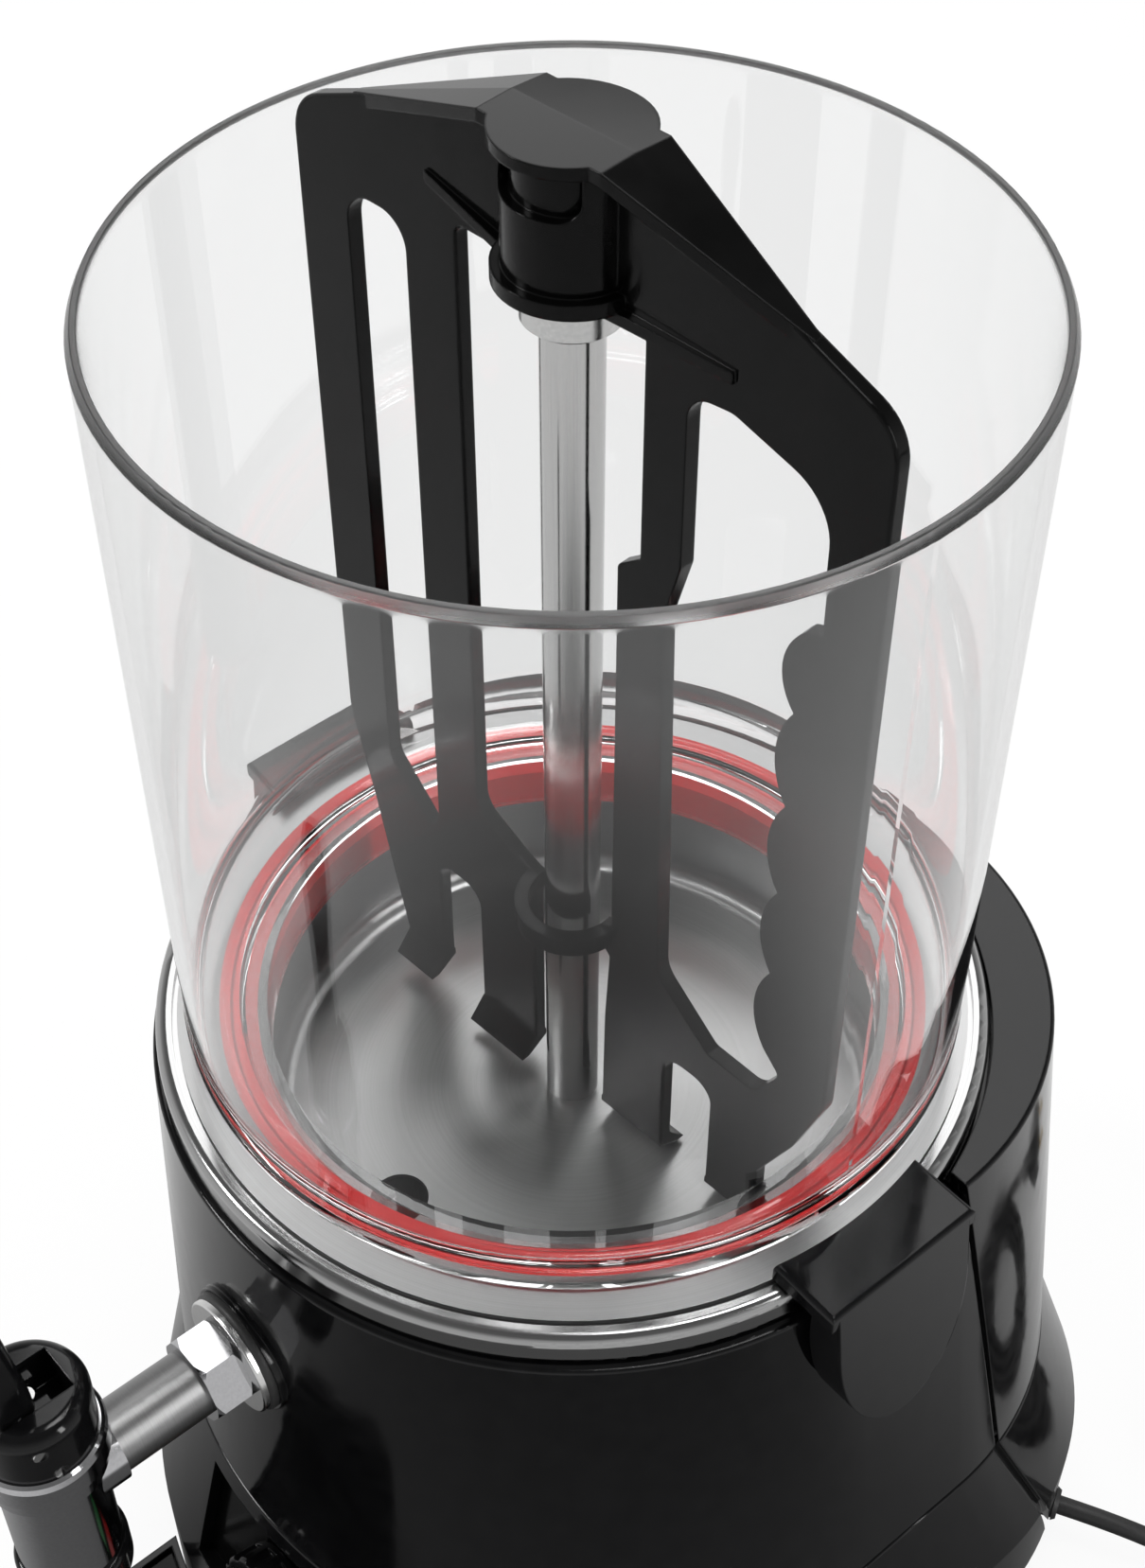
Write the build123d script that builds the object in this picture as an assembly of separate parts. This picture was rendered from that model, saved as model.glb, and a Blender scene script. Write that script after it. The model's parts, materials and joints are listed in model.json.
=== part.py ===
"""Countertop chocolate dispenser.

A clear bowl stands on a heated pan. A paddle turns in it, driven from below by a
shaft inside a standpipe, and a lever tap in front draws from the pan.
Millimetres, +Z up, tap towards -Y. The pieces are drawn about the bowl's axis at table
height and set down with the origin under the middle of the footprint.
"""
import os
from collections import namedtuple
from math import asin, atan2, ceil, cos, degrees, hypot, pi, radians, sin, sqrt, tan

from build123d import *

os.makedirs("parts", exist_ok=True)

# Clearances
RUNNING_FIT = 0.05
SLIDE_GAP = 0.4
SEAT_GAP = 0.3
FAR = 400.0

# Bowl
BOWL_R = 115.0
BOWL_WALL = 3.0
BOWL_HEIGHT = 243.4
BOWL_FOOT_R = 107.0
BOWL_CORNER_HEIGHT = 14.5
SHOULDER_HEIGHT = 24.0
NECK_R = 91.5
NECK_WALL = 3.0
NECK_DROP = 17.0
STEP_R = 98.0
STEP_RISE = 3.5
STEP_SLOPE = 1.5
CORNER_BULGE = 0.80
OUTER_CORNER_MID = 0.38
INNER_CORNER_MID = 0.40
RIM_BEVEL = 1.3
RIM_BEVEL_DROP = 2.4
RIM_ROUND = 0.5

# Gasket under the bowl
GASKET_THICK = 4.0
GASKET_FLANGE = 1.8
GASKET_LIP_R = 108.5
SEAL_GAP = 0.15
SEAL_BEAD_R = 103.0
SEAL_BEAD_WIDTH = 1.0
LEAD_WIDTH = 3.5
LEAD_DEPTH = 5.0

# Feet, base and housing heights
FOOT_HEIGHT = 15.0
BASE_HEIGHT = 105.0
SKIRT_HEIGHT = 40.0
HOUSING_HEIGHT = 160.0
FRONT_STEP = 7.0
WALL = 3.0
SEAM_GAP = 1.2
SHELL_SEAM_GAP = 2.2
BASE_SEAM_GAP = 3.6
WAIST_GROOVE = 2.2
WAIST_GROOVE_DEPTH = 1.6
LAP_THICK = 2.0
LAP_WIDTH = 8.0
LEDGE_THICK = 2.0
LEDGE_WIDTH = 9.0
FLANGE_THICK = 3.0
EDGE_ROUND = 1.2
DECK_RISE = 0.5

# Beaded rim of the water jacket
BEAD_GAP = 10.0
BEAD_HEIGHT = 12.0
BEAD_ROUND = 3.4
SHEET = 1.5
GROOVE_WIDTH = 1.7
GROOVE_DEPTH = 1.7

# Plan of the housing
CROWN_SIDE = 1.6
CROWN_FRONT = 1.4
CROWN_REAR = 12.0
CORNER_R = 100.0
WAIST_GROWTH = (14.9, 6.6, 13.0, 4.0)
SKIRT_GROWTH = (9.5, 18.0, 20.0, -2.0)
SEAM_TOP_BACK = 100.0
SEAM_WAIST_BACK = 84.0
SEAM_FOOT_BACK = 60.0

# Pan, jacket and heater
PAN_WALL_R = 95.0
PAN_FLOOR_R = 88.0
PAN_DEPTH = 47.8
PAN_LIP_GAP = 0.3
JACKET_DEPTH = 117.0
JACKET_INSET = 7.0
HEATER_R = 75.0
HEATER_TUBE_R = 4.0
HEATER_LEG_R = 3.5
HEATER_LIFT = 12.0
HEATER_LEG_X = 14.0
HEATER_LEG_DROP = 20.0
CUTOUT_R = 9.0
CUTOUT_HEIGHT = 10.0
CUTOUT_BLADE = 8.0
CUTOUT_PLACE = (52.0, -30.0)

# Standpipe and drive
PIPE_R = 8.0
PIPE_BORE_R = 6.5
STANDPIPE_HEIGHT = 295.0
PIPE_FOOT_GAP = 5.2
COLLAR_R = 12.5
COLLAR_HEIGHT = 10.0
COLLAR_LIP = 2.0
COLLAR_CHAMFER = 0.8
SHAFT_R = 4.0
SHAFT_FLAT = 2.8
SHAFT_FLAT_UP = 2.0
SHAFT_TOP_REACH = 26.0
BUSH_LENGTH = 12.0
MODULE = 1.5
GEAR_TEETH = 40
PINION_TEETH = 16
GEAR_THICK = 8.0
GEAR_HUB_R = 9.0
GEAR_HUB_HEIGHT = 9.0
MOTOR_SHAFT_R = 3.0
MOTOR_R = 25.0
MOTOR_LENGTH = 44.0
GEARBOX_R = 30.0
GEARBOX_LENGTH = 22.0
MOTOR_SCREW_R = 1.5
MOTOR_SCREW_RING = 24.0
MOTOR_SCREW_DEPTH = 7.0
MOTOR_SHAFT_DEPTH = 12.0
PLATE_THICK = 2.5
THRUST_HEIGHT = 5.0
SHAFT_SINK = 1.5
GEAR_LIFT = 2.0
THRUST_R = 9.0

# Paddle, measured out from the axis, up from the hub's seat or up from the pan's floor
PADDLE_TURN = 4.6
BLADE_THICK = 4.6
BLADE_ROUND = 0.8
HUB_R = 16.5
HUB_DISC_R = 19.0
HUB_HEIGHT = 39.0
HUB_DISC_THICK = 4.0
HUB_FLANGE_THICK = 4.0
RECESS_HALF = 13.0
RECESS_LOW = 23.0
RECESS_HIGH = 34.0
RECESS_DEPTH = 2.5
RECESS_ROUND = 5.0
ROOF_FLAT = 19.0
ROOF_SLOPE = 0.40
ROOF_THICK = 4.0
ROOF_HALF_WIDTH = 10.9
ROOF_REACH = 72.0
ROOF_RUNOUT = 1.0
ROOF_PROUD = 0.3
RIDGE_FALL = 0.05
RIGHT_REACH = 97.3
LEFT_REACH = 94.7
SHOULDER_ROUND = 14.0
WEB_BOTTOM = -2.4
RIB_REACH = 52.0
RIB_LEFT_REACH = 46.0
RIB_LEFT_RISE = 8.0
RIB_ROOT = 15.0
RIB_HALF_WIDTH = 5.0
RIB_THICK = 3.0
LEFT_LEGS = ((-73.0, -56.0), (-38.0, -14.0))
LEFT_LIFTS = (7.0, 3.0)
RIGHT_LEGS = ((15.0, 40.0), (58.0, 77.0))
LEG_FOOT = 6.5
LEFT_ARCH = 60.0
RIGHT_ARCH = 51.0
LEFT_SLOT = (-76.5, -55.0)
SLOT_TOP = -9.5
RIGHT_SLOT = (38.5, 81.7)
SCALLOP_PITCH = 31.5
SCALLOP_VALLEY = 75.5
SCALLOP_LOBE = 71.0
SCALLOP_TOP = -56.0
SCALLOP_FIRST = 28.0
POCKET_FLOOR = 85.0
LOOP_BORE_R = 13.0
LOOP_R = 17.0
LOOP_HEIGHT = 6.5
LOOP_FLOOR = 80.0
SCRAPER_LIFT = 2.0
SCRAPER_RISE = 9.0
SCRAPER_SWEEP = 6.0
SCRAPER_THICK = 3.0
HUB_SEAT_GAP = 1.0

# Latches
LATCH_HALF_WIDTH = 27.5
LATCH_PROUD = 13.2
LATCH_HOLD = 6.4
LATCH_TOP_THICK = 5.6
LATCH_LEAN = 7.8
LATCH_DROP = 56.5
LATCH_D_HALF = 25.0
LATCH_D_ROUND = 42.0
LATCH_ROLL = 1.6
LATCH_SIDE_GAP = 1.2
HINGE_R = 2.6
HINGE_OFF = 4.0
HINGE_RISE = 2.4
HINGE_TONGUE = 4.0
HINGE_HALF = 9.0
LATCH_PIN_R = 1.5
LATCH_LIFT = 0.7

# Tap
TAP_PIPE_R = 10.75
TAP_PIPE_BORE_R = 8.5
DRAIN_R = 68.0
DRAIN_GAP = 10.25
BOSS_R = 21.0
BOSS_PROUD = 0.6
BOSS_DEPTH = 8.0
TAP_GASKET_R = 20.0
TAP_GASKET_THICK = 2.6
WASHER_R = 19.0
WASHER_THICK = 2.0
NUT_FLATS = 26.0
NUT_LENGTH = 12.5
NUT_CHAMFER = 1.6
TAP_REACH = 65.0
PIPE_SINK = 2.0
NECK_SLEEVE = 1.6
BARREL_R = 15.5
BARREL_TOP = 18.0
BARREL_BOTTOM = 36.0
BARREL_FLANGE_R = 18.0
BARREL_FLANGE = 6.0
CHAMBER_R = 12.0
SEAT_DROP = 20.0
SPOUT_R = 9.0
SPOUT_BORE_R = 6.5
SPOUT_LENGTH = 24.0
SPOUT_COLLAR_R = 17.0
SPOUT_COLLAR_HEIGHT = 13.0
SPOUT_COLLAR_ROUND = 2.0
BONNET_R = 19.5
BONNET_HEIGHT = 11.0
CAP_R = 17.6
CAP_HEIGHT = 31.0
CAP_DOME = 5.0
LEVER_ARM = 6.0
LEVER_SWING = 30.0
LEVER_PIVOT_UP = 24.0
LEVER_PIN_R = 2.0
LEVER_HALF_WIDTH = 7.2
LEVER_HUB_R = 6.5
LEVER_HEIGHT = 82.0
LEVER_NECK_HALF = 6.7
LEVER_NECK_DEEP = 6.4
LEVER_GRIP_HALF = 7.4
LEVER_GRIP_DEEP = 6.2
LEVER_TOP_HALF = 8.6
LEVER_TOP_DEEP = 5.4
LEVER_LEAN = 9.2
FORK_GAP = 3.6
FORK_HALF = 4.5
STEM_R = 2.5
STEM_TOP = 4.0
STEM_PIN_R = 1.5
FORK_PLAY = 0.5
STEM_COLLAR_R = 6.5
STEM_COLLAR_THICK = 2.5
SPRING_R = 8.0
SEAL_R = 8.5
SEAL_HEIGHT = 9.0
SEAL_SOCKET = 4.0
LIFT = 3.3
CAP_SCREW_R = 2.0
CAP_SCREW_UP = 13.0
CAP_SCREW_X = 11.0
CAP_SCREW_OFF = 2.0

# Control panel
PANEL_UP = 73.0
PANEL_X = 18.0
PANEL_WIDTH = 92.0
PANEL_TALL = 48.0
PANEL_THICK = 2.5
PANEL_DEPTH = 7.5
PANEL_FRAME = 2.5
HEAT_X = 17.5
MIXER_X = 36.0
KNOB_X = -8.0
SWITCH_WIDTH = 13.4
SWITCH_TALL = 22.0
SWITCH_DEPTH = 16.0
SWITCH_FLANGE = 1.6
SWITCH_WALL = 1.0
ROCKER_TILT = 7.0
TRUNNION_R = 1.2
TRUNNION_SINK = 1.5
KNOB_R = 15.0
KNOB_HEIGHT = 14.0
KNOB_ROUND = 1.4
KNOB_FLUTES = 12
FLUTE_R = 3.0
POINTER = 2.0
KNOB_STEM_R = 3.0
KNOB_STEM = 16.0
THERMOSTAT_SIZE = 32.0
THERMOSTAT_DEPTH = 22.0

# Drip tray
TRAY_HALF_WIDTH = 50.0
TRAY_REACH = 95.0
TRAY_TOP = 42.0
TRAY_FOOT = 3.0
TRAY_WALL = 2.5
TRAY_ROUND = 24.0
TRAY_LEDGE = 2.5
TRAY_FOOT_R = 6.0
TRAY_FOOT_INSET = 12.0
TRAY_GAP = 1.0
TONGUE_X = 28.0
TONGUE_WIDTH = 14.0
TONGUE_THICK = 5.0
TONGUE_REACH = 14.0
TONGUE_Z = 20.4
GRID_THICK = 1.5
GRID_SINK = 2.3
SLOT_WIDTH = 5.0
SLOT_PITCH = 10.0
GRID_MARGIN = 10.0
GRID_BRIDGE = 4.0

# Feet and fixings
FOOT_R = 14.0
FOOT_HOLLOW = 3.0
FOOT_TAPER = 2.0
FOOT_WEB_Z = 6.0
FRONT_FOOT_INSET = 16.5
FRONT_FOOT_ANGLE = 42.0
FOOT_REAR_INSET = (56.0, 58.0)
FOOT_SCREW_R = 2.5
PLATE_VENTS = 7
PLATE_VENT_PITCH = 14.0
PLATE_VENT_WIDTH = 5.0
PLATE_VENT_HALF = 35.0
COVER_SCREW_R = 2.5
TERMINAL_INSET = (81.0, 108.0)
TERMINAL_SIZE = (18.0, 36.0, 16.0)
COVER_SCREW_X = 45.0
COVER_SCREW_UP = 20.0
SCREW_STAND = 0.7
SCREW_HEAD = 2.0
SCREW_LENGTH = 12.7
VENT_HALF = 32.0
VENT_UP = 36.0
VENT_PITCH = 12.0
VENT_TALL = 4.0
VENT_COUNT = 6

# Mains cord
CORD_R = 3.5
GLAND_R = 5.5
GLAND_FLANGE_R = 7.0
GLAND_ANGLE = 29.0
GLAND_UP = 2.0
GLAND_PROUD = 2.0
CORD_RUN = ((161.0, 130.1, 17.0), (186.75, 147.4, 5.2))
COIL_CENTRE = (188.0, 212.0)
COIL_START_ANGLE = -54.0
COIL_TURNS = 6.358
COIL_PITCH = 7.7
COIL_MID_R = 38.5
COIL_LIFT = 1.7
TIE_WIDTH = 8.0
TIE_THICK = 1.0
TIE_GAP = 0.6
PLUG_R = 18.4
PLUG_LEAD = 34.0
PLUG_TAIL = 20.0
PLUG_BODY = 36.0
PLUG_PIN_R = 2.4
PLUG_PIN_LENGTH = 19.0
PLUG_PIN_SPACING = 19.0

# Levels that follow from the sizes above
WAIST_Z = FOOT_HEIGHT + BASE_HEIGHT
SKIRT_Z = FOOT_HEIGHT + SKIRT_HEIGHT
CROWN_Z = WAIST_Z + HOUSING_HEIGHT
BEAD_Z = CROWN_Z - FRONT_STEP
BEAD_TOP_Z = BEAD_Z + BEAD_HEIGHT
PAN_RIM_Z = BEAD_TOP_Z - GROOVE_DEPTH + SHEET
BOWL_FOOT_Z = PAN_RIM_Z + GASKET_FLANGE
RIM_Z = BOWL_FOOT_Z + BOWL_HEIGHT
PAN_FLOOR_Z = PAN_RIM_Z - PAN_DEPTH
JACKET_Z = BEAD_TOP_Z - JACKET_DEPTH
HEATER_Z = JACKET_Z + SHEET + HEATER_LIFT
COLLAR_TOP_Z = PAN_FLOOR_Z + STANDPIPE_HEIGHT
HUB_Z = COLLAR_TOP_Z + HUB_SEAT_GAP
CHASSIS_TOP_Z = WAIST_Z + DECK_RISE
SHAFT_FOOT_Z = CHASSIS_TOP_Z + THRUST_HEIGHT - SHAFT_SINK
GEAR_Z = CHASSIS_TOP_Z + THRUST_HEIGHT + GEAR_LIFT
STANDPIPE_Z = GEAR_Z + GEAR_THICK + GEAR_HUB_HEIGHT + PIPE_FOOT_GAP
BEAD_R = BOWL_R + BEAD_GAP
JACKET_R = BEAD_R - JACKET_INSET
LATCH_OUT = BEAD_R + LATCH_PROUD
GASKET_R = NECK_R + NECK_WALL + GASKET_THICK
GEAR_DISTANCE = MODULE * (GEAR_TEETH + PINION_TEETH) / 2
PLATE_Z = FOOT_HEIGHT
LEDGE_Z = PLATE_Z + LEDGE_THICK

Plan = namedtuple("Plan", "side front rear corner")


def grown(plan, growth):
    """A plan with each of its sizes made larger."""
    return Plan(*(size + step for size, step in zip(plan, growth)))


CROWN = Plan(BEAD_R + CROWN_SIDE, BEAD_R + CROWN_FRONT, BEAD_R + CROWN_REAR, CORNER_R)
WAIST = grown(CROWN, WAIST_GROWTH)
SKIRT = grown(WAIST, SKIRT_GROWTH)
MIDDLE_Y = (SKIRT.rear - SKIRT.front - TRAY_REACH) / 2
SEAM_TOP_Y = CROWN.rear - SEAM_TOP_BACK
SEAM_WAIST_Y = WAIST.rear - SEAM_WAIST_BACK
SEAM_FOOT_Y = SKIRT.rear - SEAM_FOOT_BACK
FRONT_FOOT = (
    (SKIRT.side - FRONT_FOOT_INSET) * cos(radians(FRONT_FOOT_ANGLE)),
    (FRONT_FOOT_INSET - SKIRT.front) * sin(radians(FRONT_FOOT_ANGLE)),
)
REAR_FOOT = (SKIRT.side - FOOT_REAR_INSET[0], SKIRT.rear - FOOT_REAR_INSET[1])
FEET = [(side * x, y) for x, y in (FRONT_FOOT, REAR_FOOT) for side in (1, -1)]


def between(low, high, share):
    return Plan(*(a + (b - a) * share for a, b in zip(low, high)))


def plan_at(z):
    """Plan of the housing's outside at a height."""
    if z >= WAIST_Z:
        return between(WAIST, CROWN, (z - WAIST_Z) / HOUSING_HEIGHT)
    if z >= SKIRT_Z:
        return between(SKIRT, WAIST, (z - SKIRT_Z) / (WAIST_Z - SKIRT_Z))
    return SKIRT


def plan_face(plan, z, inset):
    """Rounded front, straight sides and rounded rear corners, drawn in by an inset."""
    side, front, rear, corner = (size - inset for size in plan)
    x = side - corner
    y = rear - corner
    edges = [
        EllipticalCenterArc((0, 0), side, front, start_angle=180, arc_size=180),
        Line((side, 0), (side, y)),
        CenterArc((x, y), corner, 0, 90),
        Line((x, rear), (-x, rear)),
        CenterArc((-x, y), corner, 90, 90),
        Line((-side, y), (-side, 0)),
    ]
    return Pos(0, 0, z) * make_face(edges)


def block(z0, z1, inset):
    """Solid of the housing's shape between two heights on one slope."""
    top = plan_at(z1)
    bottom = WAIST if z0 == WAIST_Z else plan_at(z0)
    return loft([plan_face(bottom, z0, inset), plan_face(top, z1, inset)], ruled=True)


def soft_top(solid):
    """The solid with its top edge rounded over."""
    return fillet(solid.edges().group_by(Axis.Z)[-1], EDGE_ROUND)


def base_block(z0, z1, inset):
    """Solid of the base's shape: an upright skirt under a flared part."""
    parts = []
    if z0 < SKIRT_Z:
        parts.append(extrude(plan_face(SKIRT, z0, inset), min(z1, SKIRT_Z) - z0))
    if z1 > SKIRT_Z:
        parts.append(block(max(z0, SKIRT_Z), z1, inset))
    return parts[0] if len(parts) == 1 else parts[0] + parts[1]


def disc(radius, z0, z1, x=0.0, y=0.0):
    return Pos(x, y, z0) * Cylinder(radius, z1 - z0, align=(Align.CENTER, Align.CENTER, Align.MIN))


def tube(radius, bore, z0, z1, x=0.0, y=0.0):
    return disc(radius, z0, z1, x, y) - disc(bore, z0 - 1, z1 + 1, x, y)


def rod(start, direction, radius, length):
    """Cylinder from a point along a direction."""
    plane = Plane(origin=start, z_dir=direction)
    return plane.location * Cylinder(radius, length, align=(Align.CENTER, Align.CENTER, Align.MIN))


def along_x(radius, x0, x1, y, z):
    return rod((x0, y, z), (1, 0, 0), radius, x1 - x0)


def along_y(radius, y0, y1, x, z):
    return rod((x, y0, z), (0, 1, 0), radius, y1 - y0)


def span(x0, x1, y0, y1, z0, z1):
    """Box between limits."""
    box = Box(x1 - x0, y1 - y0, z1 - z0, align=(Align.MIN, Align.MIN, Align.MIN))
    return Pos(x0, y0, z0) * box


def turned(points):
    """Ring or vessel turned from a closed (radius, height) profile."""
    profile = Polyline(*[(r, 0, z) for r, z in points], close=True)
    return revolve(make_face(profile), Axis.Z)


def turned_edges(edges):
    return revolve(make_face(edges), Axis.Z)


def side_prism(points, x0, x1):
    """Prism along X of a closed (y, z) outline."""
    face = make_face(Polyline(*[(x0, y, z) for y, z in points], close=True))
    return extrude(face, x1 - x0, dir=(1, 0, 0))


def front_prism(points, half_depth):
    """Prism along Y, centred on the axis, of a closed (x, z) outline."""
    face = make_face(Polyline(*[(x, -half_depth, z) for x, z in points], close=True))
    return extrude(face, 2 * half_depth, dir=(0, 1, 0))


def both_sides(shape):
    return shape + mirror(shape, Plane.YZ)


# Bowl, gasket, pan and jacket


def bowl():
    """Clear bowl with a stepped shoulder and a neck that plugs into the pan."""
    foot = BOWL_FOOT_Z
    neck_out = NECK_R + NECK_WALL
    neck_z = foot - NECK_DROP + SEAL_GAP
    inner = BOWL_R - BOWL_WALL
    shoulder = foot + SHOULDER_HEIGHT
    step = foot + BOWL_WALL
    rise = step + STEP_RISE
    corner = foot + BOWL_CORNER_HEIGHT
    out_mid = (
        BOWL_FOOT_R + (BOWL_R - BOWL_FOOT_R) * CORNER_BULGE, 0, foot + BOWL_CORNER_HEIGHT * OUTER_CORNER_MID,
    )
    in_start = STEP_R + STEP_SLOPE
    in_mid = (
        in_start + (inner - in_start) * CORNER_BULGE, 0, rise + (shoulder - rise) * INNER_CORNER_MID,
    )
    edges = [
        Line((NECK_R, 0, neck_z), (neck_out, 0, neck_z)),
        Line((neck_out, 0, neck_z), (neck_out, 0, foot)),
        Line((neck_out, 0, foot), (BOWL_FOOT_R, 0, foot)),
        ThreePointArc((BOWL_FOOT_R, 0, foot), out_mid, (BOWL_R, 0, corner)),
        Line((BOWL_R, 0, corner), (BOWL_R, 0, RIM_Z - RIM_BEVEL_DROP)),
        Line((BOWL_R, 0, RIM_Z - RIM_BEVEL_DROP), (BOWL_R - RIM_BEVEL, 0, RIM_Z)),
        Line((BOWL_R - RIM_BEVEL, 0, RIM_Z), (inner, 0, RIM_Z)),
        Line((inner, 0, RIM_Z), (inner, 0, shoulder)),
        ThreePointArc((inner, 0, shoulder), in_mid, (in_start, 0, rise)),
        Line((in_start, 0, rise), (STEP_R, 0, step)),
        Line((STEP_R, 0, step), (NECK_R, 0, step)),
        Line((NECK_R, 0, step), (NECK_R, 0, neck_z)),
    ]
    shell = turned_edges(edges)
    circles = shell.edges().filter_by(GeomType.CIRCLE).group_by(Axis.Z)
    return fillet(circles[-1] + circles[-2], RIM_ROUND)


def bowl_gasket():
    """Red sleeve round the neck, with a lead-in and a flange whose seal bead carries the bowl's foot."""
    inner = NECK_R + NECK_WALL + SEAL_GAP
    bottom = BOWL_FOOT_Z - NECK_DROP
    top = BOWL_FOOT_Z - SEAL_GAP
    bead = SEAL_BEAD_R + SEAL_BEAD_WIDTH
    return turned([
        (inner, bottom), (GASKET_R, bottom), (GASKET_R, PAN_RIM_Z), (GASKET_LIP_R, PAN_RIM_Z),
        (GASKET_LIP_R, top), (bead, top), (bead, BOWL_FOOT_Z), (SEAL_BEAD_R, BOWL_FOOT_Z), (SEAL_BEAD_R, top),
        (inner + LEAD_WIDTH, top), (inner, top - LEAD_DEPTH),
    ])


def pan_knee(radius):
    """Quarter round between the pan's floor and its wall: its two ends and middle."""
    reach = radius * sqrt(0.5)
    z = PAN_FLOOR_Z + PAN_WALL_R - PAN_FLOOR_R
    return (
        (PAN_FLOOR_R, 0, z - radius), (PAN_FLOOR_R + reach, 0, z - reach), (PAN_FLOOR_R + radius, 0, z),
    )


def heating_pan():
    """Stainless pan: land for the bowl, gasket well, wall and floor with a drain."""
    well = BOWL_FOOT_Z - NECK_DROP
    floor = PAN_FLOOR_Z
    wall = PAN_WALL_R
    lip_r = JACKET_R + PAN_LIP_GAP
    inside = pan_knee(wall - PAN_FLOOR_R)
    outside = pan_knee(wall - PAN_FLOOR_R + SHEET)
    side = Polyline(
        inside[2], (wall, 0, well), (GASKET_R, 0, well), (GASKET_R, 0, PAN_RIM_Z), (lip_r, 0, PAN_RIM_Z),
        (lip_r, 0, PAN_RIM_Z - SHEET), (GASKET_R + SHEET, 0, PAN_RIM_Z - SHEET),
        (GASKET_R + SHEET, 0, well - SHEET), (wall + SHEET, 0, well - SHEET), outside[2],
    )
    bottom = Polyline(outside[0], (PIPE_R, 0, floor - SHEET), (PIPE_R, 0, floor), inside[0])
    pan = turned_edges([ThreePointArc(*inside), *side.edges(), ThreePointArc(*outside), *bottom.edges()])
    return pan - disc(TAP_PIPE_BORE_R, floor - 2 * SHEET, floor + SHEET, y=-DRAIN_R)


def water_jacket():
    """Outer vessel of the water bath, hung by its beaded rim."""
    wall = JACKET_R
    seat = PAN_RIM_Z - SHEET
    round_r = BEAD_ROUND
    top = BEAD_TOP_Z
    mid = round_r * (1 - sqrt(0.5))
    groove = wall + PAN_LIP_GAP + GROOVE_WIDTH
    edges = [
        Line((PIPE_R, 0, JACKET_Z), (wall, 0, JACKET_Z)),
        Line((wall, 0, JACKET_Z), (wall, 0, BEAD_Z)),
        Line((wall, 0, BEAD_Z), (BEAD_R - round_r, 0, BEAD_Z)),
        ThreePointArc((BEAD_R - round_r, 0, BEAD_Z), (BEAD_R - mid, 0, BEAD_Z + mid),
                      (BEAD_R, 0, BEAD_Z + round_r)),
        Line((BEAD_R, 0, BEAD_Z + round_r), (BEAD_R, 0, top - round_r)),
        ThreePointArc((BEAD_R, 0, top - round_r), (BEAD_R - mid, 0, top - mid),
                      (BEAD_R - round_r, 0, top)),
        Line((BEAD_R - round_r, 0, top), (groove, 0, top)),
        Line((groove, 0, top), (groove, 0, seat)),
        Line((groove, 0, seat), (wall - SHEET, 0, seat)),
        Line((wall - SHEET, 0, seat), (wall - SHEET, 0, JACKET_Z + SHEET)),
        Line((wall - SHEET, 0, JACKET_Z + SHEET), (PIPE_R, 0, JACKET_Z + SHEET)),
        Line((PIPE_R, 0, JACKET_Z + SHEET), (PIPE_R, 0, JACKET_Z)),
    ]
    jacket = turned_edges(edges)
    for x, y in heater_legs():
        jacket -= disc(HEATER_LEG_R, JACKET_Z - 1, JACKET_Z + SHEET + 1, x, y)
    return jacket - along_y(TAP_PIPE_R, -wall - 3, -wall + 4, 0, TAP_Z)


def heater_legs():
    y = sqrt(HEATER_R ** 2 - HEATER_LEG_X ** 2)
    return ((HEATER_LEG_X, y), (-HEATER_LEG_X, y))


def heater_element():
    """Tubular heater: an open ring in the water, whose ends turn down through the jacket as two legs."""
    half_gap = degrees(asin(HEATER_LEG_X / HEATER_R))
    section = Plane(origin=(HEATER_R, 0, 0), x_dir=(1, 0, 0), z_dir=(0, 1, 0)) * Circle(HEATER_TUBE_R)
    element = Rot(0, 0, 90 + half_gap) * revolve(section, Axis.Z, revolution_arc=360 - 2 * half_gap)
    foot = JACKET_Z - HEATER_LEG_DROP - HEATER_Z
    for x, y in heater_legs():
        element += disc(HEATER_LEG_R, foot, HEATER_LEG_R / 4, x, y)
    return Pos(0, 0, HEATER_Z) * element


def thermal_cutout():
    """Safety thermostat on the underside of the jacket."""
    x, y = CUTOUT_PLACE
    low = JACKET_Z - CUTOUT_HEIGHT
    body = disc(CUTOUT_R, low, JACKET_Z, x, y)
    third = CUTOUT_R / 3
    for way in (-1.5, 1.5):
        blade_x = x + way * third
        body += span(blade_x - 0.5, blade_x + 0.5, y - third, y + third, low - CUTOUT_BLADE, low)
    return body


# Standpipe and drive


def standpipe():
    return tube(PIPE_R, PIPE_BORE_R, STANDPIPE_Z, COLLAR_TOP_Z - COLLAR_LIP)


def standpipe_collar():
    """Stainless cap ring on the standpipe's top."""
    bottom = COLLAR_TOP_Z - COLLAR_HEIGHT
    ring = disc(COLLAR_R, bottom, COLLAR_TOP_Z)
    ring = chamfer(ring.edges().filter_by(GeomType.CIRCLE), COLLAR_CHAMFER)
    ring -= disc(PIPE_R, bottom - 1, COLLAR_TOP_Z - COLLAR_LIP)
    return ring - disc(SHAFT_R + 1.0, bottom, COLLAR_TOP_Z + 1)


def upper_bush():
    top = COLLAR_TOP_Z - COLLAR_LIP
    return tube(PIPE_BORE_R, SHAFT_R + RUNNING_FIT, top - BUSH_LENGTH, top)


def lower_bush():
    return tube(PIPE_BORE_R, SHAFT_R + RUNNING_FIT, STANDPIPE_Z, STANDPIPE_Z + BUSH_LENGTH)


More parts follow.
